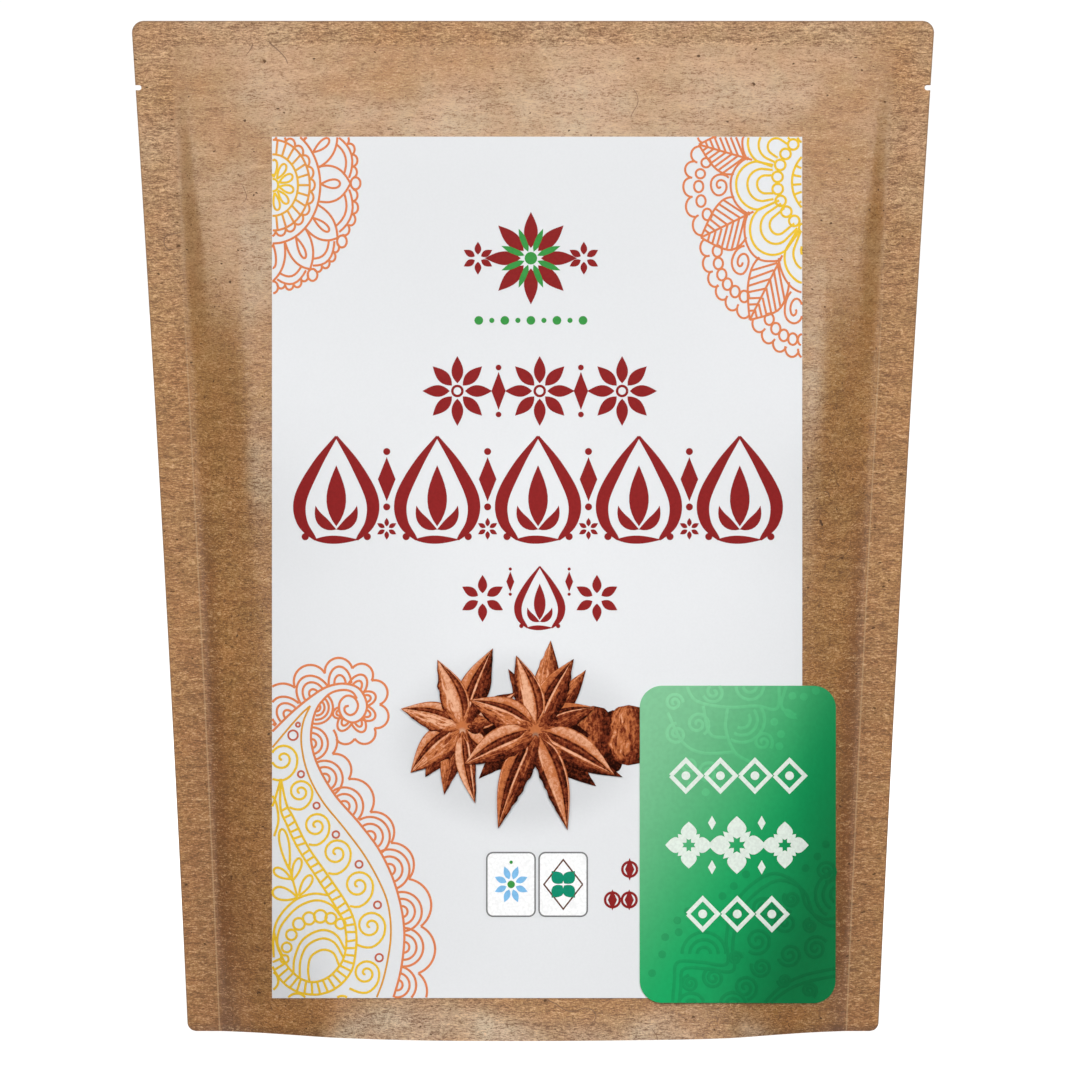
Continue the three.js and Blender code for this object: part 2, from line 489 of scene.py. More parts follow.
def set_surface(tree, shader, paint, roughness, specular):
    """Gives the shader its paint and its gloss."""
    tree.links.new(paint, shader.inputs["Base Color"])
    if isinstance(roughness, bpy.types.NodeSocket):
        tree.links.new(roughness, shader.inputs["Roughness"])
    else:
        shader.inputs["Roughness"].default_value = roughness
    shader.inputs["Specular IOR Level"].default_value = specular


def set_bump(tree, shader, height, strength, distance):
    bump = add(
        tree, "ShaderNodeBump", {"Height": height, "Strength": strength, "Distance": distance}
    )
    tree.links.new(bump.outputs["Normal"], shader.inputs["Normal"])


def kraft_material(colours):
    """Brown kraft paper: short wavy fibres, dark flecks and a few hairs, under a thin film."""
    material, tree, shader = new_material("kraft_paper")
    plain = object_points(tree)
    height = height_in(tree, plain)
    inset = mesh_value(tree, "inset")
    sealed = remap(tree, inset, -0.0002, 0.0008, 1.0, 0.0)
    # The flared bottom edge carries a painted highlight; the painted shades below leave it out.
    flare_highlight = remap(tree, mesh_value(tree, "flared"), 0.08, 0.42)
    off_flare_highlight = calculate(tree, "SUBTRACT", 1.0, flare_highlight)

    # Three patterns make the fibres' tone.
    wander = add(tree, "ShaderNodeTexNoise", {"Vector": plain, "Scale": 420.0, "Detail": 2.0})
    bend = {0: wander.outputs["Color"], 1: (0.0014, 0.0014, 0.0014)}
    bent = add(tree, "ShaderNodeVectorMath", bend, operation="MULTIPLY").outputs["Vector"]
    wavy = add(tree, "ShaderNodeVectorMath", {0: plain, 1: bent}, operation="ADD")
    drawn_out = {"Vector": wavy.outputs["Vector"], "Scale": (820.0, 820.0, 4000.0)}
    stretched = add(tree, "ShaderNodeMapping", drawn_out).outputs["Vector"]
    fibres = noise(tree, stretched, 1.0, 3.0, 0.7)
    grain = noise(tree, plain, 2600.0, 2.0, 0.6)
    streaks = noise(tree, object_points(tree, (130, 130, 700)), 1.0, 3.0, 0.6)
    grain = product(tree, grain, 0.40)
    streaks = product(tree, streaks, 0.35)
    tone = calculate(tree, "ADD", fibres, grain, streaks)

    # Painted highlight: the paper is paler on the upper panel, on the face beside the label, near
    # the top edge and on the flared bottom edge, where the lamps' sheen falls.
    painted_highlight = remap(tree, height, 0.150, 0.215, 0.0, 0.75)
    painted_highlight = product(tree, painted_highlight, remap(tree, inset, 0.002, 0.016, 0.6, 1.0))
    face = remap(tree, inset, 0.0110, 0.0160, 0.0, 0.75)
    face = product(tree, face, remap(tree, height, 0.095, 0.140))
    rim = remap(tree, height, 0.228, 0.238, 0.0, 0.30)
    painted_highlight = calculate(tree, "MAXIMUM", painted_highlight, face, rim, flare_highlight)
    paper = mix(tree, sealed, colours.kraft, colours.kraft_seal)
    paper = mix(tree, painted_highlight, paper, colours.kraft_highlight)
    clouds = noise(tree, plain, 32.0, 3.0, 0.6)
    paper = mix(tree, remap(tree, clouds, 0.3, 0.7), paper, tinted(colours.kraft, 0.9))

    # Painted shade: the paper is darker lower down, beside the crease along the seals, beside the
    # fold and at the foot.
    low = remap(tree, height, 0.135, 0.06)
    paper = shaded(tree, paper, product(tree, low, off_flare_highlight), (1.03, 0.965, 0.82))
    reach = remap(tree, height, 0.12, 0.02, 0.004, 0.014)
    seal_side = remap(tree, inset, -0.009, -0.001, 0.1, 0.45)
    both_sides = calculate(tree, "MAXIMUM", seal_side, remap(tree, inset, -0.0001, 0.0003))
    gutter = remap(tree, inset, 0.001, reach, 1.0, 0.0)
    gutter = product(tree, gutter, low, both_sides)
    paper = shaded(tree, paper, gutter, (0.765, 0.705, 0.63))
    fold_shadow = remap(tree, inset, 0.0026, 0.0056, 1.0, 0.0)
    off_seal = remap(tree, inset, 0.0, 0.0012)
    below = remap(tree, height, 0.145, 0.11)
    fold_shadow = product(tree, fold_shadow, off_seal, below)
    paper = shaded(tree, paper, fold_shadow, (0.76, 0.68, 0.58))
    foot = product(tree, remap(tree, height, 0.0004, 0.0022, 1.0, 0.0), off_flare_highlight)
    paper = shaded(tree, paper, foot, (0.66, 0.62, 0.58))
    hues = remap(tree, noise(tree, plain, 150.0, 2.0), 0.35, 0.65)
    hue = mix(tree, hues, (0.99, 1.02, 1.02), (1.03, 0.98, 0.97))
    paper = mix(tree, 1.0, paper, hue, "MULTIPLY")

    paper = mix(tree, remap(tree, tone, 0.64, 0.92, 1.0, 0.0), paper, colours.fibre_dark)
    paper = mix(tree, remap(tree, tone, 0.88, 1.18, 0.0, 0.9), paper, colours.fibre_light)
    coarse = calculate(tree, "MAXIMUM", remap(tree, height, 0.19, 0.12), sealed)
    contrast = mix(tree, remap(tree, tone, 0.72, 1.08), (0.77, 0.71, 0.62), (1.22, 1.25, 1.30))
    paper = shaded(tree, paper, coarse, contrast)

    # Painted highlight: a thin pale line along the crease, below the bag's upper part.
    off_crease = calculate(tree, "ABSOLUTE", inset)
    crease_sheen = remap(tree, off_crease, 0.00006, 0.00026, 0.42, 0.0)
    crease_sheen = product(tree, crease_sheen, remap(tree, height, 0.15, 0.19, 1.0, 0.0))
    paper = mix(tree, crease_sheen, paper, colours.crease_highlight)
    cut = remap(tree, mesh_value(tree, "edge"), 0.0001, 0.0004, 0.7, 0.0)
    paper = mix(tree, cut, paper, colours.cut_edge)

    flecks = noise(tree, object_points(tree, (620, 620, 900)), 1.0, 1.0, 0.5)
    flecks = remap(tree, flecks, 0.735, 0.775)
    paper = mix(tree, flecks, paper, colours.fleck)
    hair_path = noise(tree, object_points(tree, location=(0.31, 0.17, 0.05)), 60.0, 1.0)
    off_path = calculate(tree, "ABSOLUTE", calculate(tree, "SUBTRACT", hair_path, 0.5))
    hairs = remap(tree, off_path, 0.001, 0.004, 1.0, 0.0)
    hair_places = remap(tree, noise(tree, plain, 75.0, 0.0), 0.70, 0.73)
    hairs = product(tree, hairs, hair_places)
    paper = mix(tree, hairs, paper, tinted(colours.fleck, 1.6))

    matt_seal = product(tree, sealed, 0.12)
    matt_flecks = product(tree, flecks, 0.5)
    roughness = remap(tree, tone, 0.6, 1.1, 0.52, 0.33)
    roughness = calculate(tree, "ADD", roughness, matt_seal, matt_flecks)
    set_surface(tree, shader, paper, roughness, 0.8)
    set_bump(tree, shader, tone, 1.0, 0.00013)
    return material


def painted_top_shade(tree):
    """Painted shade: the label and its inks are darker towards the top, against the stronger light
    that falls there.
    """
    return remap(tree, height_in(tree, object_points(tree)), 0.09, 0.215, 1.0, 0.845)


def label_material(colours):
    """Smooth coated label paper, with a printed shade behind the picture, painted shade towards its
    top and painted highlight towards its sides.
    """
    material, tree, shader = new_material("label_paper")
    grain = noise(tree, object_points(tree), 1800.0, 2.0)
    paper = mix(tree, remap(tree, grain, 0.3, 0.7), tinted(colours.label, 0.985), colours.label)
    shade_place = object_points(tree, (1 / 0.034, 0, 1 / 0.024), (0.10, 0, -2.93))
    printed_shade = remap(tree, distance_in(tree, shade_place), 0.62, 1.0, 0.86, 1.0)
    # Painted highlight: the label is lighter towards its sides, which turn away from the lamps.
    split = add(tree, "ShaderNodeSeparateXYZ", {"Vector": object_points(tree)})
    outer = calculate(tree, "ABSOLUTE", split.outputs["X"])
    outer = remap(tree, outer, 0.02, 0.068, 1.0, 1.045)
    printed_and_painted_shading = product(tree, painted_top_shade(tree), printed_shade, outer)
    paper = mix(tree, 1.0, paper, printed_and_painted_shading, "MULTIPLY")
    set_surface(tree, shader, paper, 0.6, 0.15)
    set_bump(tree, shader, grain, 0.08, 0.00005)
    return material


def badge_material(colours, name="badge_paper", tone=1.0):
    """Green print that runs from light at the upper left to dark at the lower right."""
    material, tree, shader = new_material(name)
    points = object_points(tree)
    place = object_points(tree, (21.5, 0, 13.2), (-0.546, 0, -0.0885))
    split = add(tree, "ShaderNodeSeparateXYZ", {"Vector": place})
    across = split.outputs["X"]
    up = split.outputs["Z"]

    def slanted(share_across, share_up, offset):
        """A value that runs evenly over the badge, whose sides lie at 0 and 1."""
        rise = product(tree, up, share_up)
        run = product(tree, across, share_across)
        return calculate(tree, "ADD", run, rise, offset)

    light = remap(tree, slanted(-0.55, 0.65, 0.35), 0.29, 1.0)
    dark = remap(tree, slanted(0.62, -0.38, 0.38), 0.42, 0.88)
    paper = mix(tree, light, colours.badge_green, colours.badge_light)
    paper = mix(tree, dark, paper, colours.badge_dark)
    grain = remap(tree, noise(tree, points, 900.0, 2.0), 0.3, 0.7, 0.97 * tone, 1.03 * tone)
    paper = mix(tree, 1.0, paper, grain, "MULTIPLY")
    set_surface(tree, shader, paper, 0.5, 0.1)
    return material


# ---- Pieces ----

# Shares of the grid's half width and of its height that are held to the bag's own lines.
COLUMN_SHARES = [0.0, 0.50, 0.68, 0.80, 0.92, 0.99, 1.0]
ROW_SHARES = [0.0, 0.10, 0.105, 0.115, 0.13, 0.93, 0.935, 0.955, 0.995, 1.0]
BAG_COLUMNS = 200
BAG_ROWS = 210
BORDER_COLUMN = 0.9951  # past it the grid's last column closes the bag's side
BORDER_ROW = 0.9976  # past it the last row closes the top
HOLLOW_DEPTH = 0.003  # depth of the bag over which the gusset's hollow sets in


def between_places(share, shares, places):
    """The point at a share of the way through a list of places, which may be arrays."""
    step = np.interp(share, shares, range(len(shares)))
    index = np.minimum(step.astype(int), len(shares) - 2)
    part = step - index
    stack = np.broadcast_arrays(*[np.asarray(place) + 0 * share for place in places])
    stack = np.array(stack)
    column = np.arange(len(share))
    return stack[index, column] * (1 - part) + stack[index + 1, column] * part


def corner_inset(radius, above):
    """How far a round corner draws an edge in, at a height above the corner's end."""
    reach = np.clip(radius - above, 0, radius)
    return radius - np.sqrt(radius**2 - reach**2)


def gusset_height(x, inward, s):
    """Height of the film under the base, from 0 at the rim to 1 at the middle fold."""
    share = np.minimum(inward / 0.5, 1)
    middle = s.trough * np.sin(np.pi * share**0.6) + 0.00015
    ends = ramp(np.abs(x), 0.036, 0.066)
    return middle * (1 - ends) + s.tent * inward**0.8 * ends


def place_bag(points, s):
    """Turns the flat grid into the front half of the filled bag, down to the gusset's fold."""
    a = points[:, 0]
    b = (points[:, 1] + 1) / 2
    seal_level = s.height - s.top_seal
    corner_level = s.height - s.outer_corner
    z = between_places(
        b,
        ROW_SHARES,
        [0, 0, 0, 0.0005, 0.002, seal_level - 0.003, seal_level, corner_level, s.height, s.height],
    )
    in_corner = np.clip((z - corner_level) / s.outer_corner, 0, 1)
    z = np.where(in_corner > 0, corner_level + s.outer_corner * np.sin(in_corner * math.pi / 2), z)
    edge = half_width(z, s)
    edge = edge - corner_inset(s.base_corner, z) - corner_inset(s.outer_corner, s.height - z)
    crease = panel_half_width(z, s)
    x = between_places(
        np.abs(a),
        COLUMN_SHARES,
        [0, crease - 0.018, crease - 0.004, crease - 0.0008, crease + 0.0008, edge, edge],
    )
    x = np.minimum(x, edge) * np.sign(a)
    depth = front_depth(x, z, s)

    under = b < ROW_SHARES[1]
    out = np.clip(b / ROW_SHARES[1], 0, 1)
    rim = np.maximum(depth - s.skirt, 0)
    hollow = np.clip((depth - s.film / 2) / HOLLOW_DEPTH - 0.3, 0, 1)
    depth = np.where(under, out * (rim + (depth - rim) * (out > 0.999)), depth)
    z = np.where(under, gusset_height(x, 1 - out, s) * hollow, z)
    outer = (np.abs(a) > BORDER_COLUMN) | (b > BORDER_ROW)
    depth = np.where(outer, 0, depth)
    return np.stack([x, -depth, z], axis=1)


class POUCH_OT_bag(Operator):
    """Adds the bag: two panels swollen between flat seals, standing on a folded gusset"""

    bl_idname = "pouch.bag"
    bl_label = "Bag"

    def execute(self, context):
        s = context.scene.pouch_sizes
        bag = new_grid("kraft_bag", BAG_COLUMNS, BAG_ROWS)
        set_points(bag, place_bag(get_points(bag), s))
        apply_modifier(
            bag, "MIRROR", use_axis=(False, True, False), merge_threshold=1e-6, use_clip=False
        )
        cut_notches(bag, s)
        points = get_points(bag)
        x, _, z = points.T
        set_attribute(bag, "inset", panel_inset(x, z, s))
        set_attribute(bag, "edge", outline_distance(x, z, s))
        set_attribute(bag, "flared", flare(x, z) / FLARE)
        shade(bag, 50)
        finish_piece(bag, "pouch", kraft_material(context.scene.pouch_colours))
        return {"FINISHED"}


def cut_notches(bag, s):
    """Cuts a round-ended slot into each side seal."""
    radius = s.notch_height / 2
    for side in (-1, 1):
        inner = side * (float(half_width(s.notch_level, s)) - s.notch_depth + radius)
        bpy.ops.object.select_all(action="DESELECT")
        bpy.ops.mesh.primitive_cylinder_add(
            vertices=24,
            radius=radius,
            depth=0.004,
            location=(inner, 0, s.notch_level),
            rotation=(math.pi / 2, 0, 0),
        )
        cutter = bpy.context.object
        bpy.ops.object.transform_apply()
        points = get_points(cutter)
        points[:, 0] += np.where((points[:, 0] - inner) * side > 1e-6, side * 0.004, 0)
        set_points(cutter, points)
        apply_modifier(bag, "BOOLEAN", object=cutter, operation="DIFFERENCE", solver="EXACT")
        bpy.data.objects.remove(cutter)


LABEL_THICKNESS = 0.0002
BADGE_THICKNESS = 0.0004


def sticker(name, edges, lift, thickness, columns, rows, context, corner=0):
    """A rounded rectangle of the front view, laid on the film."""
    left, right, bottom, top = edges
    sheet = new_grid(name, columns, rows)
    a, b, _ = get_points(sheet).T
    if corner:
        b = np.sin(b * math.pi / 2)  # crowds the rows where the corners turn
    up = (bottom + top) / 2 + b * (top - bottom) / 2
    inset = corner_inset(corner, up - bottom) + corner_inset(corner, top - up) if corner else 0
    across = (left + right) / 2 + a * ((right - left) / 2 - inset)
    scene = context.scene
    set_points(sheet, on_front(across, up, lift, scene.pouch_sizes, scene.sticker_sizes))
    apply_modifier(sheet, "SOLIDIFY", thickness=thickness, offset=-1)
    shade(sheet)
    return sheet


class POUCH_OT_label(Operator):
    """Adds the tall pale label"""

    bl_idname = "pouch.label"
    bl_label = "Label"

    def execute(self, context):
        t = context.scene.sticker_sizes
        edges = edges_of("label", t)
        sheet = sticker("label_sheet", edges, t.label_lift, LABEL_THICKNESS, 90, 140, context)
        finish_piece(sheet, "label", label_material(context.scene.pouch_colours))
        return {"FINISHED"}


class POUCH_OT_badge(Operator):
    """Adds the rounded green badge"""

    bl_idname = "pouch.badge"
    bl_label = "Badge"

    def execute(self, context):
        t = context.scene.sticker_sizes
        look = (t.badge_lift, BADGE_THICKNESS, 48, 90, context, t.badge_corner)
        sheet = sticker("badge_sheet", edges_of("badge", t), *look)
        finish_piece(sheet, "badge", badge_material(context.scene.pouch_colours))
        return {"FINISHED"}


# ---- Line drawing ----

# A line is an array of complex numbers, across + 1j * up, in millimetres of the front view.
# A pair of a line and the half-widths at its points is a stroke that swells and thins.
PRINT_STEP = 1.5  # longest straight piece of a line, so that it follows the film
PRINT_RISE = 0.025  # how far the middle of a line's section lies over the sticker
PRINT_HEIGHT = 0.012  # half the height of that section
PRINT_MARGIN = 0.08  # what stays free along the sticker's edge
THIN_END = 0.01  # half-width where a stroke runs out


def arc(centre, radius, start=0.0, end=360.0):
    """Part of a circle, or a whole one, in enough steps to look round."""
    turn = math.radians(abs(end - start))
    steps = max(4, math.ceil(turn * math.sqrt(radius / 0.1)))
    return centre + radius * np.exp(1j * np.radians(np.linspace(start, end, steps + 1)))


def smooth(points):
    """A smooth line through the given points."""
    p = np.asarray(points, dtype=complex)
    p = np.concatenate([[2 * p[0] - p[1]], p, [2 * p[-1] - p[-2]]])
    parts = []
    for before, here, there, after in zip(p[:-3], p[1:-2], p[2:-1], p[3:]):
        t = np.arange(math.ceil(abs(there - here)) + 1) / (math.ceil(abs(there - here)) + 1)
        parts.append(
            here
            + (there - before) / 2 * t
            + (2 * before - 5 * here + 4 * there - after) / 2 * t**2
            + (3 * here - before - 3 * there + after) / 2 * t**3
        )
    return np.append(np.concatenate(parts), p[-2])


def arch(start, end, height):
    """Part of a circle that stands out to the left of the way from start to end."""
    half = (end - start) / 2
    radius = (abs(half) ** 2 + height**2) / (2 * height)
    middle = (start + end) / 2 + 1j * half / abs(half) * (height - radius)
    turn = 2 * math.degrees(math.atan2(height, abs(half)))
    facing = math.degrees(np.angle(1j * half))
    return arc(middle, radius, facing + turn, facing - turn)


def beside(stroke, line, side):
    """The part of a stroke that lies on one side of a line: 1 left, -1 right."""
    nearest = np.argmin(np.abs(stroke[:, None] - line), axis=1)
    off = (stroke - line[nearest]) / np.gradient(line)[nearest]
    return stroke[(off.imag * side > -0.02) | (nearest == 0)]


def spiral(centre, radius, end, turns):
    """Opens clockwise from its centre, or the other way where turns is negative."""
    t = np.linspace(0.04, 1, math.ceil(abs(turns) * 20) + 1)
    turned = math.radians(end) + 2 * np.pi * turns * (1 - t)
    return centre + radius * t**0.85 * np.exp(1j * turned)


def teardrop(base, tip, width):
    """A loop, pointed at its base and round at its tip."""
    t = np.linspace(0, 2 * np.pi, 25)
    side = np.sin(t) * np.sin(t / 2) * width / 1.54
    axis = tip - base
    return base + axis * (1 - np.cos(t)) / 2 + 1j * axis / abs(axis) * side


def leaf(base, tip, width, bend=0.0):
    """A filled leaf; bend is how far its middle stands to the left of a straight line."""
    t = np.linspace(0, 1, 11)
    axis = tip - base
    line = base + axis * t + 1j * axis / abs(axis) * bend * 4 * t * (1 - t)
    return line, width / 2 * np.sin(np.pi * t**0.85)


def disc(centre, radius):
    """A filled round dot."""
    x = -np.cos(np.linspace(0, np.pi, 9))
    return centre + radius * x, radius * np.sqrt(np.maximum(1 - x * x, 0))


def lozenge(centre, width, height):
    """A filled upright lozenge."""
    return centre + 0.5j * height * np.array([-1, 0, 1]), np.array([0, width / 2, 0])


def moved(strokes, turn=0.0, to=0.0, stretch=1.0):
    """Turns strokes round the origin, stretches them upwards and moves them to their place."""
    spin = np.exp(1j * math.radians(turn))

    def place(line):
        line = line * spin
        return to + line.real + 1j * stretch * line.imag

    return [
        (place(item[0]), item[1]) if isinstance(item, tuple) else place(item) for item in strokes
    ]


def ring_of(stroke, count, start=0.0):
    """Copies of a stroke, evenly turned round the origin."""
    return sum((moved([stroke], start + 360 * k / count) for k in range(count)), [])


def resampled(line, half_widths, step):
    """The same stroke in pieces no longer than a step."""
    counts = np.maximum(np.ceil(np.abs(np.diff(line)) / step), 1).astype(int)
    where = [index + np.arange(count) / count for index, count in enumerate(counts)]
    where = np.append(np.concatenate(where), len(counts))
    index = np.arange(len(line))
    return np.interp(where, index, line), np.interp(where, index, half_widths)


def kept_runs(line, half_widths, edges):
    """The runs of a stroke that lie inside the sticker's edges."""
    left, right, bottom, top = edges

    def is_inside(points):
        across = (points.real >= left) & (points.real <= right)
        return across & (points.imag >= bottom) & (points.imag <= top)

    if is_inside(line).all():
        return [resampled(line, half_widths, PRINT_STEP)]
    line, half_widths = resampled(line, half_widths, PRINT_STEP / 10)
    keep = is_inside(line)
    runs = []
    for index in np.split(np.arange(len(line)), np.flatnonzero(np.diff(keep)) + 1):
        if keep[index[0]] and len(index) > 3:
            index = np.append(index[:-1:4], index[-1])
            runs.append((line[index], half_widths[index]))
    return runs


def draw(name, strokes, width, ink, context, on_badge=False, raised=0.0):
    """Makes strokes into one mesh of thin flat strips that lies on the label or the badge."""
    s = context.scene.pouch_sizes
    t = context.scene.sticker_sizes
    if on_badge:
        edges, lift, slot = edges_of("badge", t), t.badge_lift, "badge_paper"
    else:
        edges, lift, slot = edges_of("label", t), t.label_lift, "label_paper"
    edges = np.array(edges) / MM + np.array([1, -1, 1, -1]) * PRINT_MARGIN
    lines = bpy.data.curves.new(name, "CURVE")
    lines.dimensions = "2D"
    lines.bevel_depth = 1.0
    lines.bevel_resolution = 0
    lines.use_fill_caps = True
    for item in strokes:
        line, half_widths = item if isinstance(item, tuple) else (item, width / 2)
        half_widths = np.broadcast_to(half_widths, line.shape)
        for run, halves in kept_runs(line, half_widths, edges):
            spline = lines.splines.new("POLY")
            spline.points.add(len(run) - 1)
            points = np.zeros((len(run), 4))
            points[:, 0] = run.real
            points[:, 1] = run.imag
            spline.points.foreach_set("co", points.ravel())
            spline.points.foreach_set("radius", np.maximum(halves, THIN_END))
    obj = bpy.data.objects.new(name, lines)
    context.collection.objects.link(obj)
    pick(obj)
    bpy.ops.object.convert(target="MESH")
    obj = context.object
    bpy.ops.object.mode_set(mode="EDIT")
    bpy.ops.mesh.select_all(action="SELECT")
    bpy.ops.mesh.remove_doubles(threshold=1e-4)
    bpy.ops.mesh.normals_make_consistent(inside=False)
    bpy.ops.mesh.faces_shade_flat()
    bpy.ops.object.mode_set(mode="OBJECT")
    across, up, height = get_points(obj).T
    height = PRINT_RISE + raised + np.clip(height, -PRINT_HEIGHT, PRINT_HEIGHT)
    set_points(obj, on_front(across * MM, up * MM, lift + height * MM, s, t))
    finish_piece(obj, None, ink)


# ---- Ornaments of the label ----


PETAL_TURNS = (66.0, 33.5, 1.0, -33.5, -61.5, -90.0, -118.0)  # where the outer petals point


def left_mandala():
    """A round flower: loops, a ring with ticks, scallops, and pointed petals with beads."""
    strokes = [arc(0, radius) for radius in (1.2, 5.9, 8.7, 11.2)]
    strokes += ring_of(teardrop(1.5, 4.9, 1.45), 11, 21)
    strokes += ring_of(np.array([5.9, 8.7]), 26)
    strokes += ring_of(arc(8.7, 1.2, -88, 88), 23)
    for turn, following in zip(PETAL_TURNS, PETAL_TURNS[1:]):
        gap = turn - following
        side = [10.7 + 3.2j, 13.2 + 3.35j, 15.3 + 2.85j, 17.0 + 1.7j, 18.4]
        side = smooth([point.real + 1j * point.imag * gap / 33 for point in side])
        petal = [side, np.conj(side), teardrop(11.4, 15.9, 1.6 * gap / 33), arc(19.6, 1.15)]
        share = np.linspace(0, 1, 9)
        for ends, middle, margin in ((16.9, 18.0, 0.175), (18.1, 19.5, 0.105)):
            distance = ends + (middle - ends) * np.sin(np.pi * share)
            angle = np.radians(-gap * (margin + (1 - 2 * margin) * share))
            petal.append(distance * np.exp(1j * angle))
        for share, distance in ((0.2, 19.0), (0.4, 19.5), (0.6, 19.5), (0.8, 19.0)):
            angle = -gap * share
            centre = distance * np.exp(1j * math.radians(angle))
            petal.append(arc(centre, math.radians(gap * 0.1) * distance, angle - 92, angle + 92))
        strokes += moved(petal, turn)
    return strokes


def loop(half_width, base, reach, narrowing):
    """Two sides that leave the bead ring and join in a round end."""
    end = arc(reach - half_width, half_width, 90, -90)
    side = 1j * half_width * narrowing
    return np.concatenate([[base + side], end, [base - side]])


LEAF_FOOT = 19.0  # how far out a veined leaf starts
LEAF_LENGTH = 13.4
LEAF_HALF_WIDTH = 5.0
VEIN_SLANT = 52  # degrees from the midrib


def veined_leaf():
    """A leaf that points outwards, with slanting veins on both sides of its midrib."""

    def half_at(share):
        return LEAF_HALF_WIDTH * np.sin(np.pi * share**0.8)

    share = np.linspace(0.26, 1, 14)
    edge = LEAF_FOOT + LEAF_LENGTH * share + 1j * half_at(share)
    strokes = [np.array([19.2, 32.4 + 0j]), edge, np.conj(edge)]
    for start in np.arange(21.2, 30.6, 1.5):
        vein = start + 9 * np.linspace(0, 1, 60) * np.exp(1j * math.radians(VEIN_SLANT))
        out = vein.real - LEAF_FOOT
        room = np.minimum(half_at(np.clip(out / LEAF_LENGTH, 0, 1)), 1.15 * out)
        vein = vein[vein.imag <= room][[0, -1]]
        strokes += [vein, np.conj(vein)]
    return strokes


SAG_RADII = [22.0, 27.0]  # between them the stretch grows
SAG_STRETCH = [1.12, 1.25]


def sagging(strokes):
    """Stretches what lies below the middle of a pattern downwards, its outer parts the most."""
    lowered = []
    for line in strokes:
        stretch = np.interp(abs(line), SAG_RADII, SAG_STRETCH)
        lowered.append(line.real + 1j * line.imag * np.where(line.imag < 0, stretch, 1))
    return lowered


def right_mandala():
    """A round flower: nested loops on a ring of beads, veined leaves, spirals and scallops."""
    rings = [arc(0, 9.0)] + ring_of(np.array([3.0, 9.0]), 24, 4)
    rings += ring_of(arc(12.5, 1.25), 27, 0.8)
    loops = []
    outer = []
    for k in range(-1, 4):
        angle = 181.5 + 35 * k
        foot = 12.0 if k > 0 else 13.5
        for half, tip, narrowing in ((5.4, 22.3, 0.75), (3.6, 19.6, 0.9), (2.0, 17.3, 1.0)):
            loops += moved([loop(half, foot, tip, narrowing)], angle)
        group = [arc(16.8, 6.8, 70, -70), spiral(26.1, 2.7, -142, 1.8)]
        for t in np.linspace(-1, 1, 5 if k == 0 else 6):
            centre = (31.2 - 1.4 * t * t) * np.exp(1j * math.radians(10.4 * t))
            group.append(arc(centre, 1.1))
            turn = 13.4 * t
            centre = (32.9 - 1.2 * t * t) * np.exp(1j * math.radians(turn))
            group.append(arc(centre, 1.95 if k == 0 else 1.65, turn - 88, turn + 88))
        outer += moved(group, angle) + moved(veined_leaf(), angle + 17.5)
    return rings + sagging(loops), sagging(outer)


NESTED = (0.28, 0.65, 1.0)  # sizes of the half rings in a scallop


def scallops_along(line, centres, widths, heights, side, nested=NESTED):
    """Nested half ovals on one side of a line, at its points nearest to the given ones."""
    t = np.radians(np.linspace(-8, 188, 33))
    strokes = []
    for centre, width, height in zip(centres, widths, heights):
        nearest = np.argmin(np.abs(line - centre))
        way = np.gradient(line)[nearest]
        oval = way / abs(way) * (width * np.cos(t) + 1j * side * height * np.sin(t))
        strokes += [beside(line[nearest] + share * oval, line, side) for share in nested]
    return strokes


def rim_of(cusps, height):
    """Arches from cusp to cusp, as high as the given share of half their width."""
    return [
        arch(start, end, height * abs(end - start) / 2) for start, end in zip(cusps, cusps[1:])
    ]


def curl(centre, size, band):
    """A spiral whose last turn swings wide and runs out below it, against the band."""
    tail = smooth([1.07, 1.0 - 0.6j, 0.66 - 1.17j, 0.08 - 1.55j, -0.6 - 1.5j, -1.3 - 1.2j])
    return beside(centre + size * np.concatenate([spiral(0, 1.07, 0, 1.75), tail]), band, 1)


# The paisley's main lines, in mm of the front view.
DROP_LINE = [
    -38.0 + 6.4j, -37.3 + 7.8j, -35.4 + 13.2j, -33.9 + 21.7j, -34.2 + 28.6j, -35.9 + 34.2j,
    -39.9 + 41.6j, -45.0 + 48.5j, -50.2 + 55.0j, -53.6 + 61.6j, -55.1 + 68.4j, -54.7 + 73.6j,
    -53.0 + 77.6j,
]  # fmt: skip
DROP_BACK = [-53.0 + 77.6j, -55.2 + 75.6j, -58.3 + 72.1j, -62.4 + 67.2j]
NECK_LINE = [
    -36.4 + 0.6j, -33.3 + 7.8j, -31.2 + 16.0j, -30.7 + 25.0j, -32.7 + 34.6j, -36.4 + 42.9j,
    -41.4 + 49.7j, -47.1 + 56.3j, -51.1 + 63.2j, -52.7 + 68.6j, -52.6 + 73.0j, -51.6 + 76.6j,
    -50.1 + 78.8j, -48.0 + 80.7j, -45.2 + 81.4j, -43.0 + 80.9j, -41.9 + 79.3j,
]  # fmt: skip
NECK_SCALLOPS = [
    -34.5 + 2.0j, -32.2 + 10.8j, -30.5 + 20.2j, -30.8 + 29.0j, -34.0 + 38.2j, -38.9 + 46.5j,
    -44.5 + 53.6j, -49.4 + 60.6j, -52.5 + 68.6j,
]  # fmt: skip
NECK_CUSPS = [
    -47.5 + 71.9j, -47.7 + 66.1j, -43.9 + 60.1j, -38.7 + 52.2j, -33.8 + 44.9j, -29.6 + 36.3j,
    -26.7 + 25.0j, -27.3 + 13.8j, -30.0 + 4.0j,
]  # fmt: skip
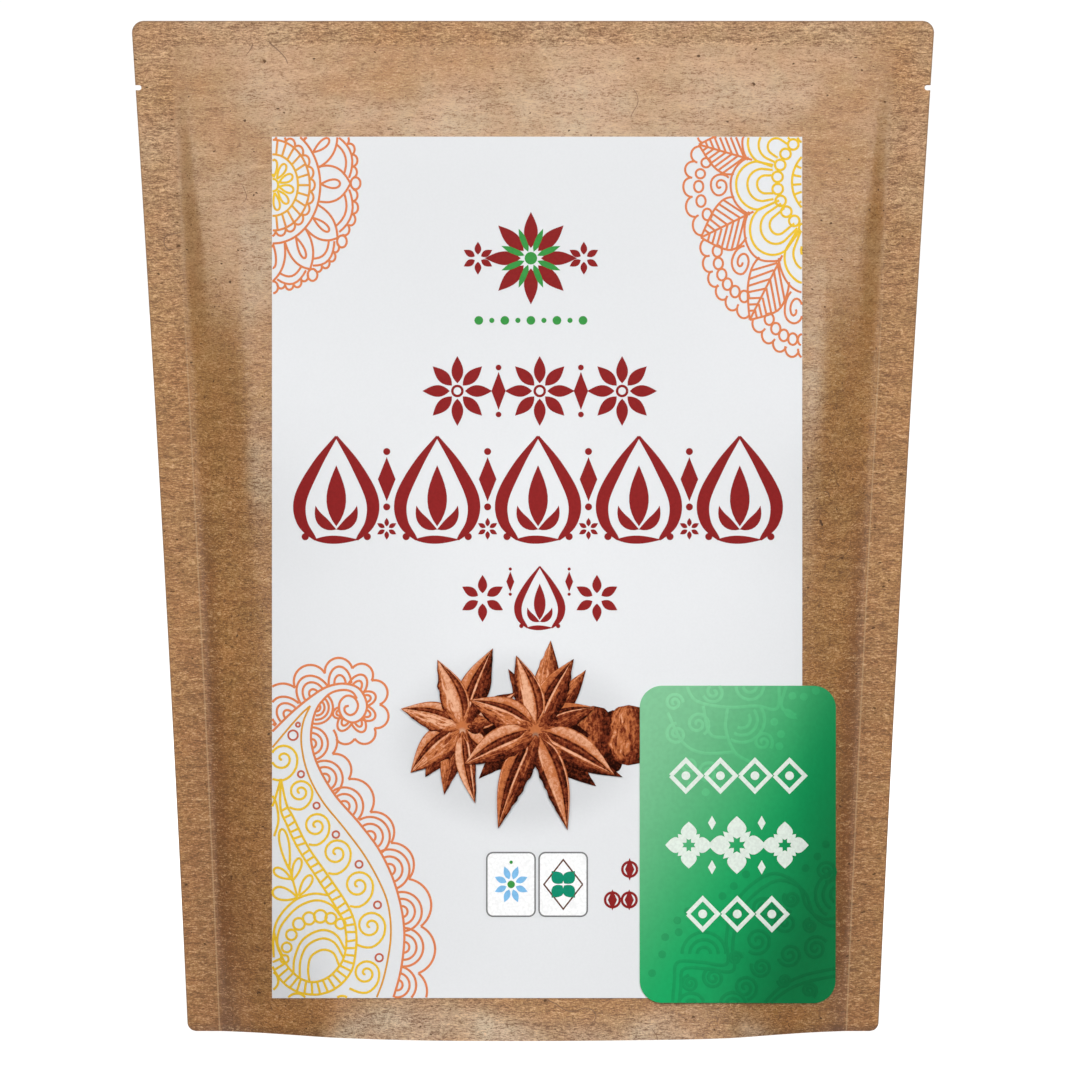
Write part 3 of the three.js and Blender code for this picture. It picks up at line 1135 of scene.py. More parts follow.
CREST_LINE = [
    -66.0 + 67.5j, -62.0 + 71.5j, -57.0 + 76.4j, -52.1 + 80.3j, -48.8 + 82.2j, -45.2 + 82.9j,
    -41.9 + 82.1j, -40.1 + 79.9j, -39.5 + 77.2j, -40.6 + 74.7j, -42.8 + 73.6j, -45.0 + 74.5j,
    -46.1 + 76.5j, -45.9 + 78.6j, -44.4 + 80.0j, -42.6 + 79.6j, -41.6 + 77.8j, -42.3 + 75.9j,
    -43.7 + 75.4j, -44.8 + 76.3j, -44.7 + 77.4j, -43.8 + 77.6j,
]  # fmt: skip
CREST_CUSPS = [
    -56.6 + 81.9j, -49.5 + 85.3j, -43.0 + 86.5j, -38.4 + 83.6j, -36.5 + 77.9j, -37.7 + 72.3j,
    -42.4 + 69.8j,
]  # fmt: skip
LADDER_OUTER = [
    -60.0 + 60.2j, -58.7 + 54.3j, -57.1 + 51.1j, -53.6 + 44.1j, -48.8 + 37.1j, -44.7 + 31.0j,
    -42.6 + 26.5j, -42.0 + 21.8j, -42.6 + 16.3j, -43.7 + 13.5j, -46.0 + 10.9j, -48.8 + 9.3j,
    -52.0 + 8.7j, -55.8 + 9.3j, -59.0 + 11.2j, -61.3 + 14.1j, -63.0 + 18.0j,
]  # fmt: skip
LADDER_INNER = [
    -60.0 + 60.2j, -60.1 + 53.3j, -58.7 + 49.5j, -55.8 + 43.4j, -51.1 + 36.1j, -47.2 + 30.0j,
    -45.0 + 25.9j, -44.4 + 21.4j, -45.0 + 17.6j, -46.4 + 15.1j, -48.8 + 12.8j, -52.0 + 11.7j,
    -55.2 + 12.5j, -58.1 + 15.1j, -60.2 + 18.6j, -61.0 + 21.0j, -61.6 + 23.5j,
]  # fmt: skip


def paisley_heart():
    """What the drop holds: a ladder band, spirals, a sprig, beads and nested arcs."""
    outer = smooth(LADDER_OUTER)
    inner = smooth(LADDER_INNER)
    strokes = [outer, inner, smooth([-60.0 + 60.2j, -61.2 + 56.0j, -62.4 + 52.5j])]
    strokes += [smooth([-62.4 + 57.0j, -61.0 + 54.0j, -60.6 + 50.0j, -61.6 + 46.5j])]
    reach = np.append(0, np.cumsum(np.abs(np.diff(outer))))
    places = np.arange(7.0, reach[-1], 1.9)
    ways = np.interp(places, reach, np.gradient(outer))
    for start, way in zip(np.interp(places, reach, outer), ways):
        across = (inner - start) / way * abs(way)
        rung = inner[np.argmin(np.abs(across.real) + 0.2 * np.abs(across))]
        strokes.append(np.array([start, rung]))
    for centre, size in (
        (-59.6 + 65.0j, 3.3), (-55.4 + 57.1j, 2.7), (-51.6 + 49.0j, 2.95), (-46.8 + 42.5j, 3.2),
        (-41.6 + 34.8j, 3.3), (-38.7 + 25.1j, 3.3), (-39.8 + 13.8j, 3.0),
    ):  # fmt: skip
        strokes.append(curl(centre, size, outer))
    for base, tip, width in (
        (-58.0 + 38.5j, -59.8 + 48.2j, 2.2),
        (-57.6 + 36.3j, -61.6 + 38.6j, 2.0),
        (-57.3 + 35.8j, -55.5 + 41.2j, 1.9),
        (-56.0 + 31.8j, -61.9 + 33.4j, 3.0),
        (-55.7 + 32.3j, -52.8 + 37.1j, 2.0),
    ):
        strokes.append(teardrop(base, tip, width))
    for points in (
        [-56.0 + 31.8j, -57.1 + 35.8j, -58.2 + 39.9j],
        [
            -61.7 + 17.6j, -61.8 + 21.8j, -61.3 + 25.3j, -59.5 + 28.5j, -56.2 + 31.5j,
            -52.3 + 32.8j, -48.6 + 32.4j,
        ],
        [
            -59.5 + 17.8j, -60.8 + 20.8j, -60.5 + 23.8j, -59.0 + 26.5j, -55.8 + 29.7j,
            -51.7 + 31.2j, -48.2 + 30.2j, -45.6 + 27.2j,
        ],
        [-57.0 + 13.9j, -56.7 + 17.6j, -54.7 + 21.9j, -50.4 + 24.1j, -46.9 + 23.0j, -44.7 + 19.4j],
        [-55.5 + 12.7j, -55.3 + 17.0j, -53.6 + 20.5j, -50.1 + 22.1j, -47.2 + 21.0j, -45.1 + 17.5j],
        [-53.2 + 11.9j, -53.5 + 14.7j, -52.8 + 17.8j, -50.1 + 19.4j, -47.5 + 18.6j, -46.1 + 15.6j],
    ):  # fmt: skip
        strokes.append(smooth(points))
    strokes.append(arc(-56.2 + 6.4j, 2.6, 20, 160))
    strokes.append(arc(-45.4 + 6.4j, 2.0, 30, 150))
    strokes.append(arc(-63.0 + 12.0j, 2.4, -60, 60))
    for centre, radius in (
        (-59.1 + 17.2j, 0.95), (-58.6 + 20.0j, 1.15), (-57.5 + 23.0j, 1.25), (-55.7 + 25.6j, 1.4),
        (-53.3 + 26.9j, 1.45), (-50.6 + 27.4j, 1.5), (-48.1 + 26.9j, 1.3), (-45.8 + 25.6j, 1.2),
    ):  # fmt: skip
        strokes.append(arc(centre, radius))
    return strokes


def paisley_rim():
    """The drop's neck and crest, with nested scallops all along their outside."""
    neck = smooth(NECK_LINE)
    crest = smooth(CREST_LINE)
    strokes = [neck, crest]
    sizes = [4.5, 4.5, 4.6, 4.7, 4.8, 4.7, 4.5, 4.3, 3.9]
    strokes += scallops_along(neck, NECK_SCALLOPS, sizes, sizes, -1)
    strokes += rim_of(NECK_CUSPS[:2], 0.35) + rim_of(NECK_CUSPS[1:], 0.66)[:8]
    places = (
        -63.5 + 70.0j, -58.2 + 75.4j, -52.1 + 80.3j, -46.2 + 82.9j, -41.6 + 82.0j, -39.7 + 79.0j,
        -39.7 + 75.9j, -41.5 + 73.9j, -44.3 + 74.0j, -46.1 + 76.2j,
    )  # fmt: skip
    widths = (4.0, 3.7, 3.8, 2.7, 2.1, 1.7, 1.7, 1.6, 1.6, 1.3)
    heights = (4.9, 5.0, 4.8, 4.1, 3.2, 2.5, 2.5, 2.8, 2.8, 1.7)
    strokes += scallops_along(crest, places[:3], widths, heights, 1)
    strokes += scallops_along(crest, places[3:], widths[3:], heights[3:], 1, (0.5, 1.0))
    strokes += rim_of(CREST_CUSPS, 0.95)
    strokes += [arch(-64.0 + 79.5j, CREST_CUSPS[0], 2.1), arch(CREST_CUSPS[-1], -46.8 + 69.7j, 1.3)]
    strokes += [beside(arc(-51.5 + 77.2j, r, -120, 80), neck, -1) for r in (0.9, 1.9, 2.9, 3.9)]
    return strokes


def paisley_berries():
    """Small rings between the drop's spirals."""
    return [
        arc(centre, radius)
        for centre, radius in (
            (-55.9 + 73.1j, 0.5), (-57.1 + 70.6j, 1.15), (-55.2 + 61.3j, 0.75),
            (-51.5 + 53.8j, 0.75), (-46.9 + 46.9j, 0.8), (-41.4 + 39.8j, 0.85),
            (-37.0 + 30.1j, 0.85), (-36.6 + 17.5j, 0.9),
        )
    ]  # fmt: skip


def rosette(centre, radius, petals, width, start=90.0):
    """A flower of filled leaves."""
    return moved(ring_of(leaf(0.22 * radius, radius + 0j, width), petals, start), to=centre)


def pointed_arch(foot, height):
    """A pointed arch of swelling lines over a filled bud with two curled leaves."""
    strokes = []
    for side in (-1, 1):
        line = [side * 0.20, side * 0.33 + 0.17j, side * 0.345 + 0.40j, side * 0.19 + 0.72j, 1j]
        line = smooth(foot + height * np.array(line))
        share = np.linspace(0, 1, len(line))
        strokes.append((line, height * (0.012 + 0.050 * np.sin(np.pi * share**0.8))))
        base = foot + height * 0.10j
        end = foot + height * (side * 0.20 + 0.33j)
        strokes.append(leaf(base, end, 0.10 * height, -side * 0.05 * height))
        strokes.append(disc(foot + height * (side * 0.30 + 0.03j), 0.035 * height))
    strokes.append(leaf(foot + height * 0.13j, foot + height * 0.72j, 0.19 * height))
    strokes.append(leaf(foot - 0.22 * height, foot + 0.22 * height, 0.08 * height))
    return strokes


def dotted_lozenge(centre, width, height):
    """A lozenge with a dot over it and one under it."""
    dots = [disc(centre + 1j * side * (height / 2 + 0.32 * width), 0.2 * width) for side in (-1, 1)]
    return [lozenge(centre, width, height), *dots]


def friezes():
    """Three rows of arches, rosettes and lozenges."""
    strokes = []
    for k in range(3):
        middle = -18.0 + 19.6 * k + 152.6j
        strokes += [*rosette(middle, 8.3, 8, 2.8), arc(middle, 1.2)]
    for k in range(2):
        strokes += dotted_lozenge(-8.2 + 19.6 * k + 152.6j, 3.4, 9.0)
    for k in range(5):
        strokes += pointed_arch(-46.8 + 24.0 * k + 117.2j, 24.6)
    for k in range(4):
        strokes += dotted_lozenge(-34.8 + 24.0 * k + 131.6j, 4.2, 10.5)
        strokes += rosette(-34.8 + 24.0 * k + 119.8j, 2.6, 6, 1.1)
    strokes += pointed_arch(1.6 + 96.2j, 14.6)
    for side in (-1, 1):
        strokes += rosette(1.6 + 13.6 * side + 103.2j, 5.6, 6, 2.2)
        strokes += dotted_lozenge(1.6 + 7.0 * side + 107.2j, 1.9, 4.8)
    return strokes


def small_rows():
    """Two short rows of fine ornament beside the badge."""
    strokes = []
    for centre, height in ((23.0 + 38.6j, 5.4), (18.9 + 31.3j, 5.0), (22.9 + 31.3j, 5.0)):
        strokes += [lozenge(centre, 2.2, height), arc(centre, 1.75)]
    return strokes


def rounded_box(left, right, bottom, top, radius):
    line = np.concatenate([
        arc(right - radius + 1j * (top - radius), radius, 0, 90),
        arc(left + radius + 1j * (top - radius), radius, 90, 180),
        arc(left + radius + 1j * (bottom + radius), radius, 180, 270),
        arc(right - radius + 1j * (bottom + radius), radius, 270, 360),
    ])
    return np.append(line, line[0])


def emblem():
    """A double rosette between two small ones, over a dotted line."""
    middle = -0.5 + 184.2j
    petals = rosette(middle, 11.0, 8, 3.3)
    petals += [item for side in (-1, 1) for item in rosette(middle + 12.6 * side, 3.9, 6, 1.6)]
    buds = rosette(middle, 7.6, 8, 1.7, 112.5)
    buds += [disc(middle, 1.5)]
    for k in range(9):
        centre = -0.5 + 3.1 * (k - 4) + 169.4j
        buds.append(disc(centre, 0.62 if k % 2 else 1.05))
    return petals, buds


# ---- Ornaments of the badge ----


def light_lace():
    """The upper ornament: nested arches, spirals and a chain of dots."""
    lines = (
        [36.0 + 84.0j, 38.5 + 79.0j, 45.8 + 77.3j, 53.0 + 77.6j, 58.0 + 77.1j, 58.4 + 84.0j],
        [46.2 + 77.2j, 45.8 + 72.0j, 47.9 + 66.6j, 52.0 + 64.0j],
        [60.7 + 84.0j, 59.0 + 77.5j, 62.5 + 75.4j],
        [32.0 + 76.0j, 35.5 + 69.0j, 40.3 + 66.4j, 47.9 + 66.6j],
        [40.4 + 77.6j, 42.0 + 71.0j, 45.9 + 70.0j],
    )
    strokes = [smooth(points) for points in lines]
    strokes += [arc(49.6 + 74.3j, radius, -120, 40) for radius in (2.0, 3.7, 5.4)]
    strokes += [arc(51.5 + 82.4j, radius, 180, 360) for radius in (1.6, 3.3)]
    for centre, radius, end in (
        (39.1 + 73.3j, 2.9, -60), (42.9 + 80.9j, 2.6, 200), (34.1 + 70.9j, 2.6, 90),
        (41.6 + 61.6j, 2.7, 20), (37.2 + 63.6j, 1.9, 150), (54.6 + 69.0j, 2.4, -40),
        (33.5 + 78.4j, 2.2, 0),
    ):  # fmt: skip
        strokes.append(spiral(centre, radius, end, 1.8))
    for place in (
        61.6 + 80.0j, 64.3 + 79.8j, 67.1 + 81.2j, 57.3 + 73.8j, 58.9 + 70.9j, 58.5 + 68.0j,
        44.6 + 57.8j, 41.0 + 57.0j, 37.6 + 58.8j,
    ):  # fmt: skip
        strokes.append(disc(place, 0.95))
    strokes.append(leaf(59.4 + 76.8j, 62.8 + 74.4j, 1.9))
    return strokes


def dark_lace():
    """The lower ornament: a heart-shaped band round spirals, arches and dots."""
    band = smooth([
        33.0 + 5.0j, 33.6 + 12.0j, 34.3 + 16.4j, 40.0 + 16.4j, 46.0 + 16.0j, 45.9 + 22.0j,
        47.2 + 28.5j, 50.8 + 34.0j, 57.0 + 37.6j, 62.8 + 35.0j, 65.0 + 29.6j, 69.0 + 26.8j,
        74.0 + 27.6j,
    ])  # fmt: skip
    swing = smooth([54.0 + 4.0j, 58.6 + 8.6j, 64.4 + 11.6j, 74.0 + 13.6j])
    strokes = [band, band + 1.5 - 1.6j, swing, swing + 1.8j]
    for centre, radius, end in (
        (42.9 + 12.7j, 2.6, 120), (50.3 + 10.4j, 3.0, -80), (54.2 + 15.3j, 2.5, 160),
        (53.3 + 21.6j, 3.3, -130), (60.9 + 18.3j, 2.9, 200), (67.1 + 19.8j, 3.0, 30),
        (60.0 + 26.0j, 2.9, 60), (54.6 + 29.2j, 2.8, 0), (37.4 + 11.4j, 2.0, 100),
        (48.0 + 17.4j, 1.6, 0), (65.8 + 25.2j, 1.7, 90), (65.6 + 9.8j, 1.9, -60),
        (59.6 + 12.2j, 1.6, 180), (69.4 + 38.2j, 2.6, -90), (61.4 + 31.6j, 2.0, 140),
    ):  # fmt: skip
        strokes.append(spiral(centre, radius, end, 2.0))
    for centre, radii, start, end in (
        (40.6 + 18.4j, (1.6, 3.4, 5.2), 0, 180),
        (37.6 + 5.8j, (1.6, 3.2), -20, 200),
        (72.6 + 32.6j, (2.0, 3.8, 5.6), 60, 240),
        (47.4 + 6.2j, (1.6, 3.0), 0, 180),
    ):
        strokes += [arc(centre, radius, start, end) for radius in radii]
    for place in (
        34.3 + 26.4j, 34.6 + 23.6j, 30.7 + 18.3j, 28.3 + 13.8j, 36.8 + 28.6j, 69.5 + 44.6j,
        67.5 + 41.7j, 64.7 + 38.9j, 47.7 + 34.6j, 45.0 + 32.2j, 50.6 + 37.4j,
        31.4 + 22.4j,
    ):  # fmt: skip
        strokes.append(disc(place, 0.95))
    return strokes


def badge_rows():
    """Three white rows: a fine chain, a bold one, and a shorter fine chain."""
    fine = []
    for centre, count in ((48.6 + 60.95j, 4), (48.5 + 27.95j, 3)):
        for k in range(count):
            middle = centre + 8.2 * (k - (count - 1) / 2)
            outline = middle + np.array([-3.6, 3.7j, 3.6, -3.7j, -3.6])
            fine += [outline, disc(middle, 1.05)]
    bold = []
    for k in (-1, 0, 1):
        middle = 48.4 + 11.4 * k + 44.4j
        bold += rosette(middle, 6.9 if k == 0 else 5.6, 4, 4.6 if k == 0 else 3.8)
        bold += rosette(middle, 4.6 if k == 0 else 3.7, 4, 1.7, 45)
    for side in (-1, 1):
        for up in (49.7j, 39.1j):
            bold.append(lozenge(48.4 + 5.9 * side + up, 1.9, 3.4))
    return fine, bold


# ---- The picture of the spice ----

# Each fruit: its middle and its arms, back ones first. An arm has its tip, its greatest width,
# the share of that width that is husk (to the left of base to tip where it is positive), and
# how bright its inside and its husk are. A lump is an arm seen from its broad end.
FRUITS = {
    "back": (0.8 + 72.0j, [
        (-14.6 + 72.6j, 8.0, 1, 0, 0.0), (5.6 + 83.6j, 6.0, 1, 0, 0.0),
        (13.6 + 70.6j, 8.0, 1, 0, 0.05), (9.0 + 79.6j, 7.0, 1, 0, 0.0),
        (-12.9 + 60.2j, 6.0, 1, 0, 0.30), (-7.4 + 58.4j, 6.4, 1, 0, 0.35),
        (-1.6 + 60.0j, 5.0, 1, 0, 0.25), (15.0 + 58.4j, 6.4, 1, 0, 0.22),
        (21.3 + 60.6j, 6.0, 1, 0, 0.22), (-9.6 + 70.6j, 7.0, 1, 0, 0.30),
        (10.6 + 82.0j, 6.4, 1, 0, 0.22), (12.6 + 86.2j, 5.2, 1, 0, 0.80),
        (4.2 + 93.2j, 6.6, 1, 0, 0.95), (-5.9 + 86.4j, 4.4, 1, 0, 0.35),
        (-4.4 + 81.6j, 4.2, 0.2, 0.75, 0.5),
    ]),
    "left": (-16.7 + 72.7j, [
        (-4.2 + 80.8j, 6.0, 0.30, 1.0, 0.5), (-25.6 + 60.6j, 6.6, 1, 0, 0.50),
        (-21.1 + 56.4j, 5.0, 1, 0, 0.75), (-15.4 + 57.6j, 4.4, 1, 0, 0.35),
        (-9.4 + 66.6j, 5.0, 0.2, 0.85, 0.7), (-10.6 + 74.4j, 4.6, 1, 0, 0.65),
        (-29.1 + 61.6j, 7.6, 0.55, 0.85, 0.90), (-13.7 + 54.3j, 4.6, 0.25, 1.05, 0.6),
        (-31.4 + 76.9j, 6.6, 0.52, 0.90, 1.25), (-9.5 + 91.3j, 6.9, -0.45, 0.70, 0.32),
        (-22.7 + 88.6j, 6.4, 0.30, 1.15, 1.25),
    ]),
    "front": (0.6 + 71.8j, [
        (14.8 + 77.2j, 6.6, -0.62, 0.50, 0.42), (9.7 + 88.8j, 7.0, -0.45, 0.38, 0.45),
        (-4.0 + 89.6j, 6.6, 0.28, 1.10, 0.75), (-15.2 + 79.0j, 7.6, 0.55, 0.75, 0.85),
        (19.5 + 60.9j, 7.6, -0.34, 0.90, 0.55), (8.2 + 47.9j, 6.2, -0.24, 0.80, 0.55),
        (-8.3 + 48.3j, 6.6, 0.42, 0.42, 0.50), (-16.4 + 63.5j, 7.4, 0.40, 0.90, 0.62),
    ]),
}  # fmt: skip
ARM_LAYER = 0.000008  # how far each arm lies over the one before it
PICTURE_LIFT = 0.00005  # where the layers of arms start, over the label
PICTURE_THICKNESS = 0.00003
LUMPS = [  # where each starts and ends, its width and how bright its husk is
    (19.0 + 61.6j, 19.0 + 76.6j, 5.0, 0.16), (14.2 + 63.0j, 14.4 + 77.6j, 8.6, 0.62),
    (22.6 + 63.4j, 22.8 + 77.8j, 9.0, 0.78),
]


def follicle(base, tip, width, husk, inside_tone, husk_tone, lift, context, blunt=False):
    """One boat-shaped arm: a split pod with two lips, and its husk along one side."""
    sheet = new_grid("follicle", 28, 20)
    a, b, _ = get_points(sheet).T
    along = (a + 1) / 2
    axis = tip - base
    way = axis / abs(axis)
    side_of_husk = 1 if husk > 0 else -1
    if blunt:
        shape = np.maximum(1 - np.abs(a) ** 4, 0) ** 0.4
    else:
        shape = np.sin(np.pi * along**0.80) ** 0.90 * (1 - 0.22 * along**4)
        shape = shape + 0.20 * (1 - along) ** 2
    ragged = smooth_noise(along * abs(axis) / 1.3, b, 1.0, int(abs(tip) * 10) % 97)
    husk_edge = np.clip(b * side_of_husk, 0, 1) ** 3
    across = b * width / 2 * shape * (1 + 0.10 * ragged * husk_edge)
    across = across - 0.035 * abs(axis) * side_of_husk * np.sin(np.pi * along) * (not blunt)
    place = base + way * (abs(axis) * along + 1j * across)
    scene = context.scene
    front = on_front(place.real * MM, place.imag * MM, lift, scene.pouch_sizes, scene.sticker_sizes)
    set_points(sheet, front)

    opening = 1 - abs(husk)
    parting = ramp(along, 0.0, 0.22) * (1 - 0.35 * ramp(along, 0.75, 1.0))
    half_open = max(opening, 0.01) * np.maximum(parting, 0.05)
    middle = -side_of_husk * (1 - opening)
    to_light = 1 if (1j * way).imag - (1j * way).real > 0 else -1
    set_attribute(sheet, "along", along)
    set_attribute(sheet, "across", b)
    set_attribute(sheet, "inside", (b - middle) / half_open * to_light + 9.0 * (opening == 0))
    set_attribute(sheet, "husk", b * side_of_husk if opening else 0.55 + 0.45 * b * -to_light)
    set_attribute(sheet, "glow", np.full_like(a, inside_tone))
    set_attribute(sheet, "tone", np.full_like(a, husk_tone))
    return sheet


def anise_material(colours):
    """Printed dried fruit: pale lips, an orange inside with a dark seam, a dark wrinkled husk."""
    material, tree, shader = new_material("printed_anise")
    names = ("along", "across", "inside", "husk", "glow", "tone")
    along, across, inside, husk_side, glow, tone = (mesh_value(tree, name) for name in names)

    def blend(share, first, second):
        """Mixes two brightnesses, which run from 0 to 1."""
        step = calculate(tree, "SUBTRACT", second, first)
        return calculate(tree, "ADD", first, product(tree, share, step))

    grown = add(tree, "ShaderNodeCombineXYZ", {"X": along, "Y": across, "Z": tone})
    grown = {"Vector": grown.outputs["Vector"], "Scale": (4.5, 4.5, 40.0)}
    grown = add(tree, "ShaderNodeMapping", grown).outputs["Vector"]
    streaks = noise(tree, grown, 1.0, 4.0, 0.7, 0.8)
    fine = noise(tree, object_points(tree), 1300.0, 3.0, 0.7)

    lit = remap(tree, inside, -0.80, 0.50, 0.14, 0.80)
    lit = product(tree, lit, remap(tree, glow, 0.3, 1.2, 0.66, 1.2))
    seam = calculate(tree, "ABSOLUTE", calculate(tree, "ADD", inside, 0.16))
    lit = blend(remap(tree, seam, 0.02, 0.20, 0.8, 0.0), lit, 0.04)
    off_middle = calculate(tree, "ABSOLUTE", inside)
    lip = remap(tree, streaks, 0.35, 0.6, 0.66, 0.98)
    bright = blend(remap(tree, off_middle, 0.74, 0.86), lit, lip)

    husk = remap(tree, streaks, 0.28, 0.74, 0.22, 1.0)
    shadow = remap(tree, husk_side, 0.30, 1.0, 1.18, 0.34)
    husk = product(tree, husk, shadow, tone)
    bright = blend(remap(tree, off_middle, 1.0, 1.08), bright, husk)
    rim = remap(tree, calculate(tree, "ABSOLUTE", across), 0.88, 1.0, 0.0, 0.6)
    bright = blend(rim, bright, 0.04)
    root = remap(tree, glow, 0.0, 0.4, 0.0, 0.34)
    bright = blend(remap(tree, along, 0.02, 0.24, 0.6, 0.0), bright, root)
    tip = remap(tree, along, 0.92, 1.0, 0.0, 0.6)
    bright = blend(tip, bright, 0.14)
    speckle = remap(tree, fine, 0.25, 0.75, -0.17, 0.17)
    bright = calculate(tree, "ADD", bright, speckle)
    paint = mix(tree, remap(tree, bright, 0.0, 0.36), colours.anise_dark, colours.anise_husk)
    paint = mix(tree, remap(tree, bright, 0.24, 0.62), paint, colours.anise_inside)
    paint = mix(tree, remap(tree, bright, 0.60, 1.05), paint, colours.anise_lip)
    set_surface(tree, shader, paint, 0.8, 0.02)
    return material


def ink_material(name, rgb, rim=None, centre=0j, start=0.0, end=1.0):
    """Printing ink, faintly uneven; it may turn into another colour away from a centre."""
    material, tree, shader = new_material(name)
    grain = remap(tree, noise(tree, object_points(tree), 1500.0, 2.0), 0.3, 0.7, 0.94, 1.05)
    # Painted shade: the ink is darker towards the top, like the label under it.
    grain = product(tree, grain, painted_top_shade(tree))
    paint = mix(tree, 1.0, rgb, grain, "MULTIPLY")
    if rim is not None:
        away = object_points(tree, (1, 0, 1), (-centre.real * MM, 0, -centre.imag * MM))
        away = distance_in(tree, away)
        rim = mix(tree, 1.0, rim, grain, "MULTIPLY")
        paint = mix(tree, remap(tree, away, start * MM, end * MM), paint, rim)
    set_surface(tree, shader, paint, 0.55, 0.08)
    return material


class POUCH_OT_mandalas(Operator):
    """Prints a round flower in both upper corners of the label"""

    bl_idname = "pouch.mandalas"
    bl_label = "Mandalas"

    def execute(self, context):
        inks = context.scene.print_colours
        left = -61.8 + 201.6j
        ink = ink_material("ink_left_flower", inks.yellow, inks.orange, left, 2.0, 13.0)
        draw("mandala_left", moved(left_mandala(), 0, left, 1.24), 0.53, ink, context)
        inner, outer = right_mandala()
        right = 70.6 + 202.3j
        yellow = ink_material("ink_yellow", inks.yellow)
        orange = ink_material("ink_orange", inks.orange)
        draw("mandala_right_heart", moved(inner, 0, right), 0.56, yellow, context)
        draw("mandala_right_rim", moved(outer, 0, right), 0.52, orange, context)
        return {"FINISHED"}


class POUCH_OT_paisley(Operator):
    """Prints a large paisley drop in the lower left corner of the label"""

    bl_idname = "pouch.paisley"
    bl_label = "Paisley"

    def execute(self, context):
        inks = context.scene.print_colours
        for name, strokes, width, rgb in (
            ("heart", paisley_heart(), 0.56, inks.yellow),
            ("drop", [smooth(DROP_LINE), smooth(DROP_BACK)], 0.45, inks.amber),
            ("rim", paisley_rim(), 0.55, inks.orange),
            ("berries", paisley_berries(), 0.45, inks.berry),
        ):
            ink = ink_material("ink_paisley_" + name, rgb)
            draw("paisley_" + name, strokes, width, ink, context)
        return {"FINISHED"}


class POUCH_OT_friezes(Operator):
    """Prints the dark red rows of ornament and the emblem over them"""

    bl_idname = "pouch.friezes"
    bl_label = "Friezes and emblem"

    def execute(self, context):
        inks = context.scene.print_colours
        red = ink_material("ink_red", inks.red)
        green = ink_material("ink_green", inks.green)
        draw("friezes", friezes() + small_rows(), 0.6, red, context)
        petals, buds = emblem()
        draw("emblem_petals", petals, 0.7, red, context)
        draw("emblem_buds", buds, 0.7, green, context)
        return {"FINISHED"}


CARD_BOTTOM, CARD_TOP, CARD_CORNER = 27.4, 42.6, 1.5  # in mm of the front view
CARD_LIFT = 0.00003  # a card's top over the label
CARD_THICKNESS = 0.00005
CARD_INK_RISE = 0.03  # how far a card raises the ink on it, in mm


class POUCH_OT_cards(Operator):
    """Adds the two small white cards with an ornament in each"""

    bl_idname = "pouch.cards"
    bl_label = "Cards"

    def execute(self, context):
        inks = context.scene.print_colours
        white = ink_material("white_card", inks.card)
        lift = context.scene.sticker_sizes.label_lift + CARD_LIFT
        look = (lift, CARD_THICKNESS, 12, 16, context, CARD_CORNER * MM)
        outlines = []
        for side, left, right in (("left", -11.0, 0.5), ("right", 1.45, 12.9)):
            edges = (left * MM, right * MM, CARD_BOTTOM * MM, CARD_TOP * MM)
            finish_piece(sticker("card_" + side, edges, *look), None, white)
            outlines.append(rounded_box(left, right, CARD_BOTTOM, CARD_TOP, CARD_CORNER))
        left = -5.2 + 35.0j
        right = 7.2 + 35.0j
        flower = moved(ring_of(leaf(1.2, 4.2 + 0j, 1.5), 8), 22.5, left, 1.1)
        quatrefoil = moved(ring_of(leaf(0.3, 3.9 + 0j, 3.0), 4), 45, right, 1.15)
        frame_line = right + np.array([4.6, 5.9j, -4.6, -5.9j, 4.6])
        heart = [disc(left, 0.9), *moved([disc(5.3 + 0j, 0.4)], 90, left)]
        for name, strokes, width, ink_name, rgb, rise in (
            ("outlines", outlines, 0.36, "grey", inks.grey, CARD_INK_RISE),
            ("flower", flower, 0.4, "blue", inks.blue, CARD_INK_RISE),
            ("quatrefoil", quatrefoil, 0.4, "teal", inks.teal, CARD_INK_RISE),
            ("lozenge", [frame_line], 0.36, "brown", inks.brown, CARD_INK_RISE),
            ("heart", heart, 0.4, "leaf", inks.green, CARD_INK_RISE + 0.01),
        ):
            ink = ink_material("ink_" + ink_name, rgb)
            draw("card_" + name, strokes, width, ink, context, raised=rise)
        return {"FINISHED"}


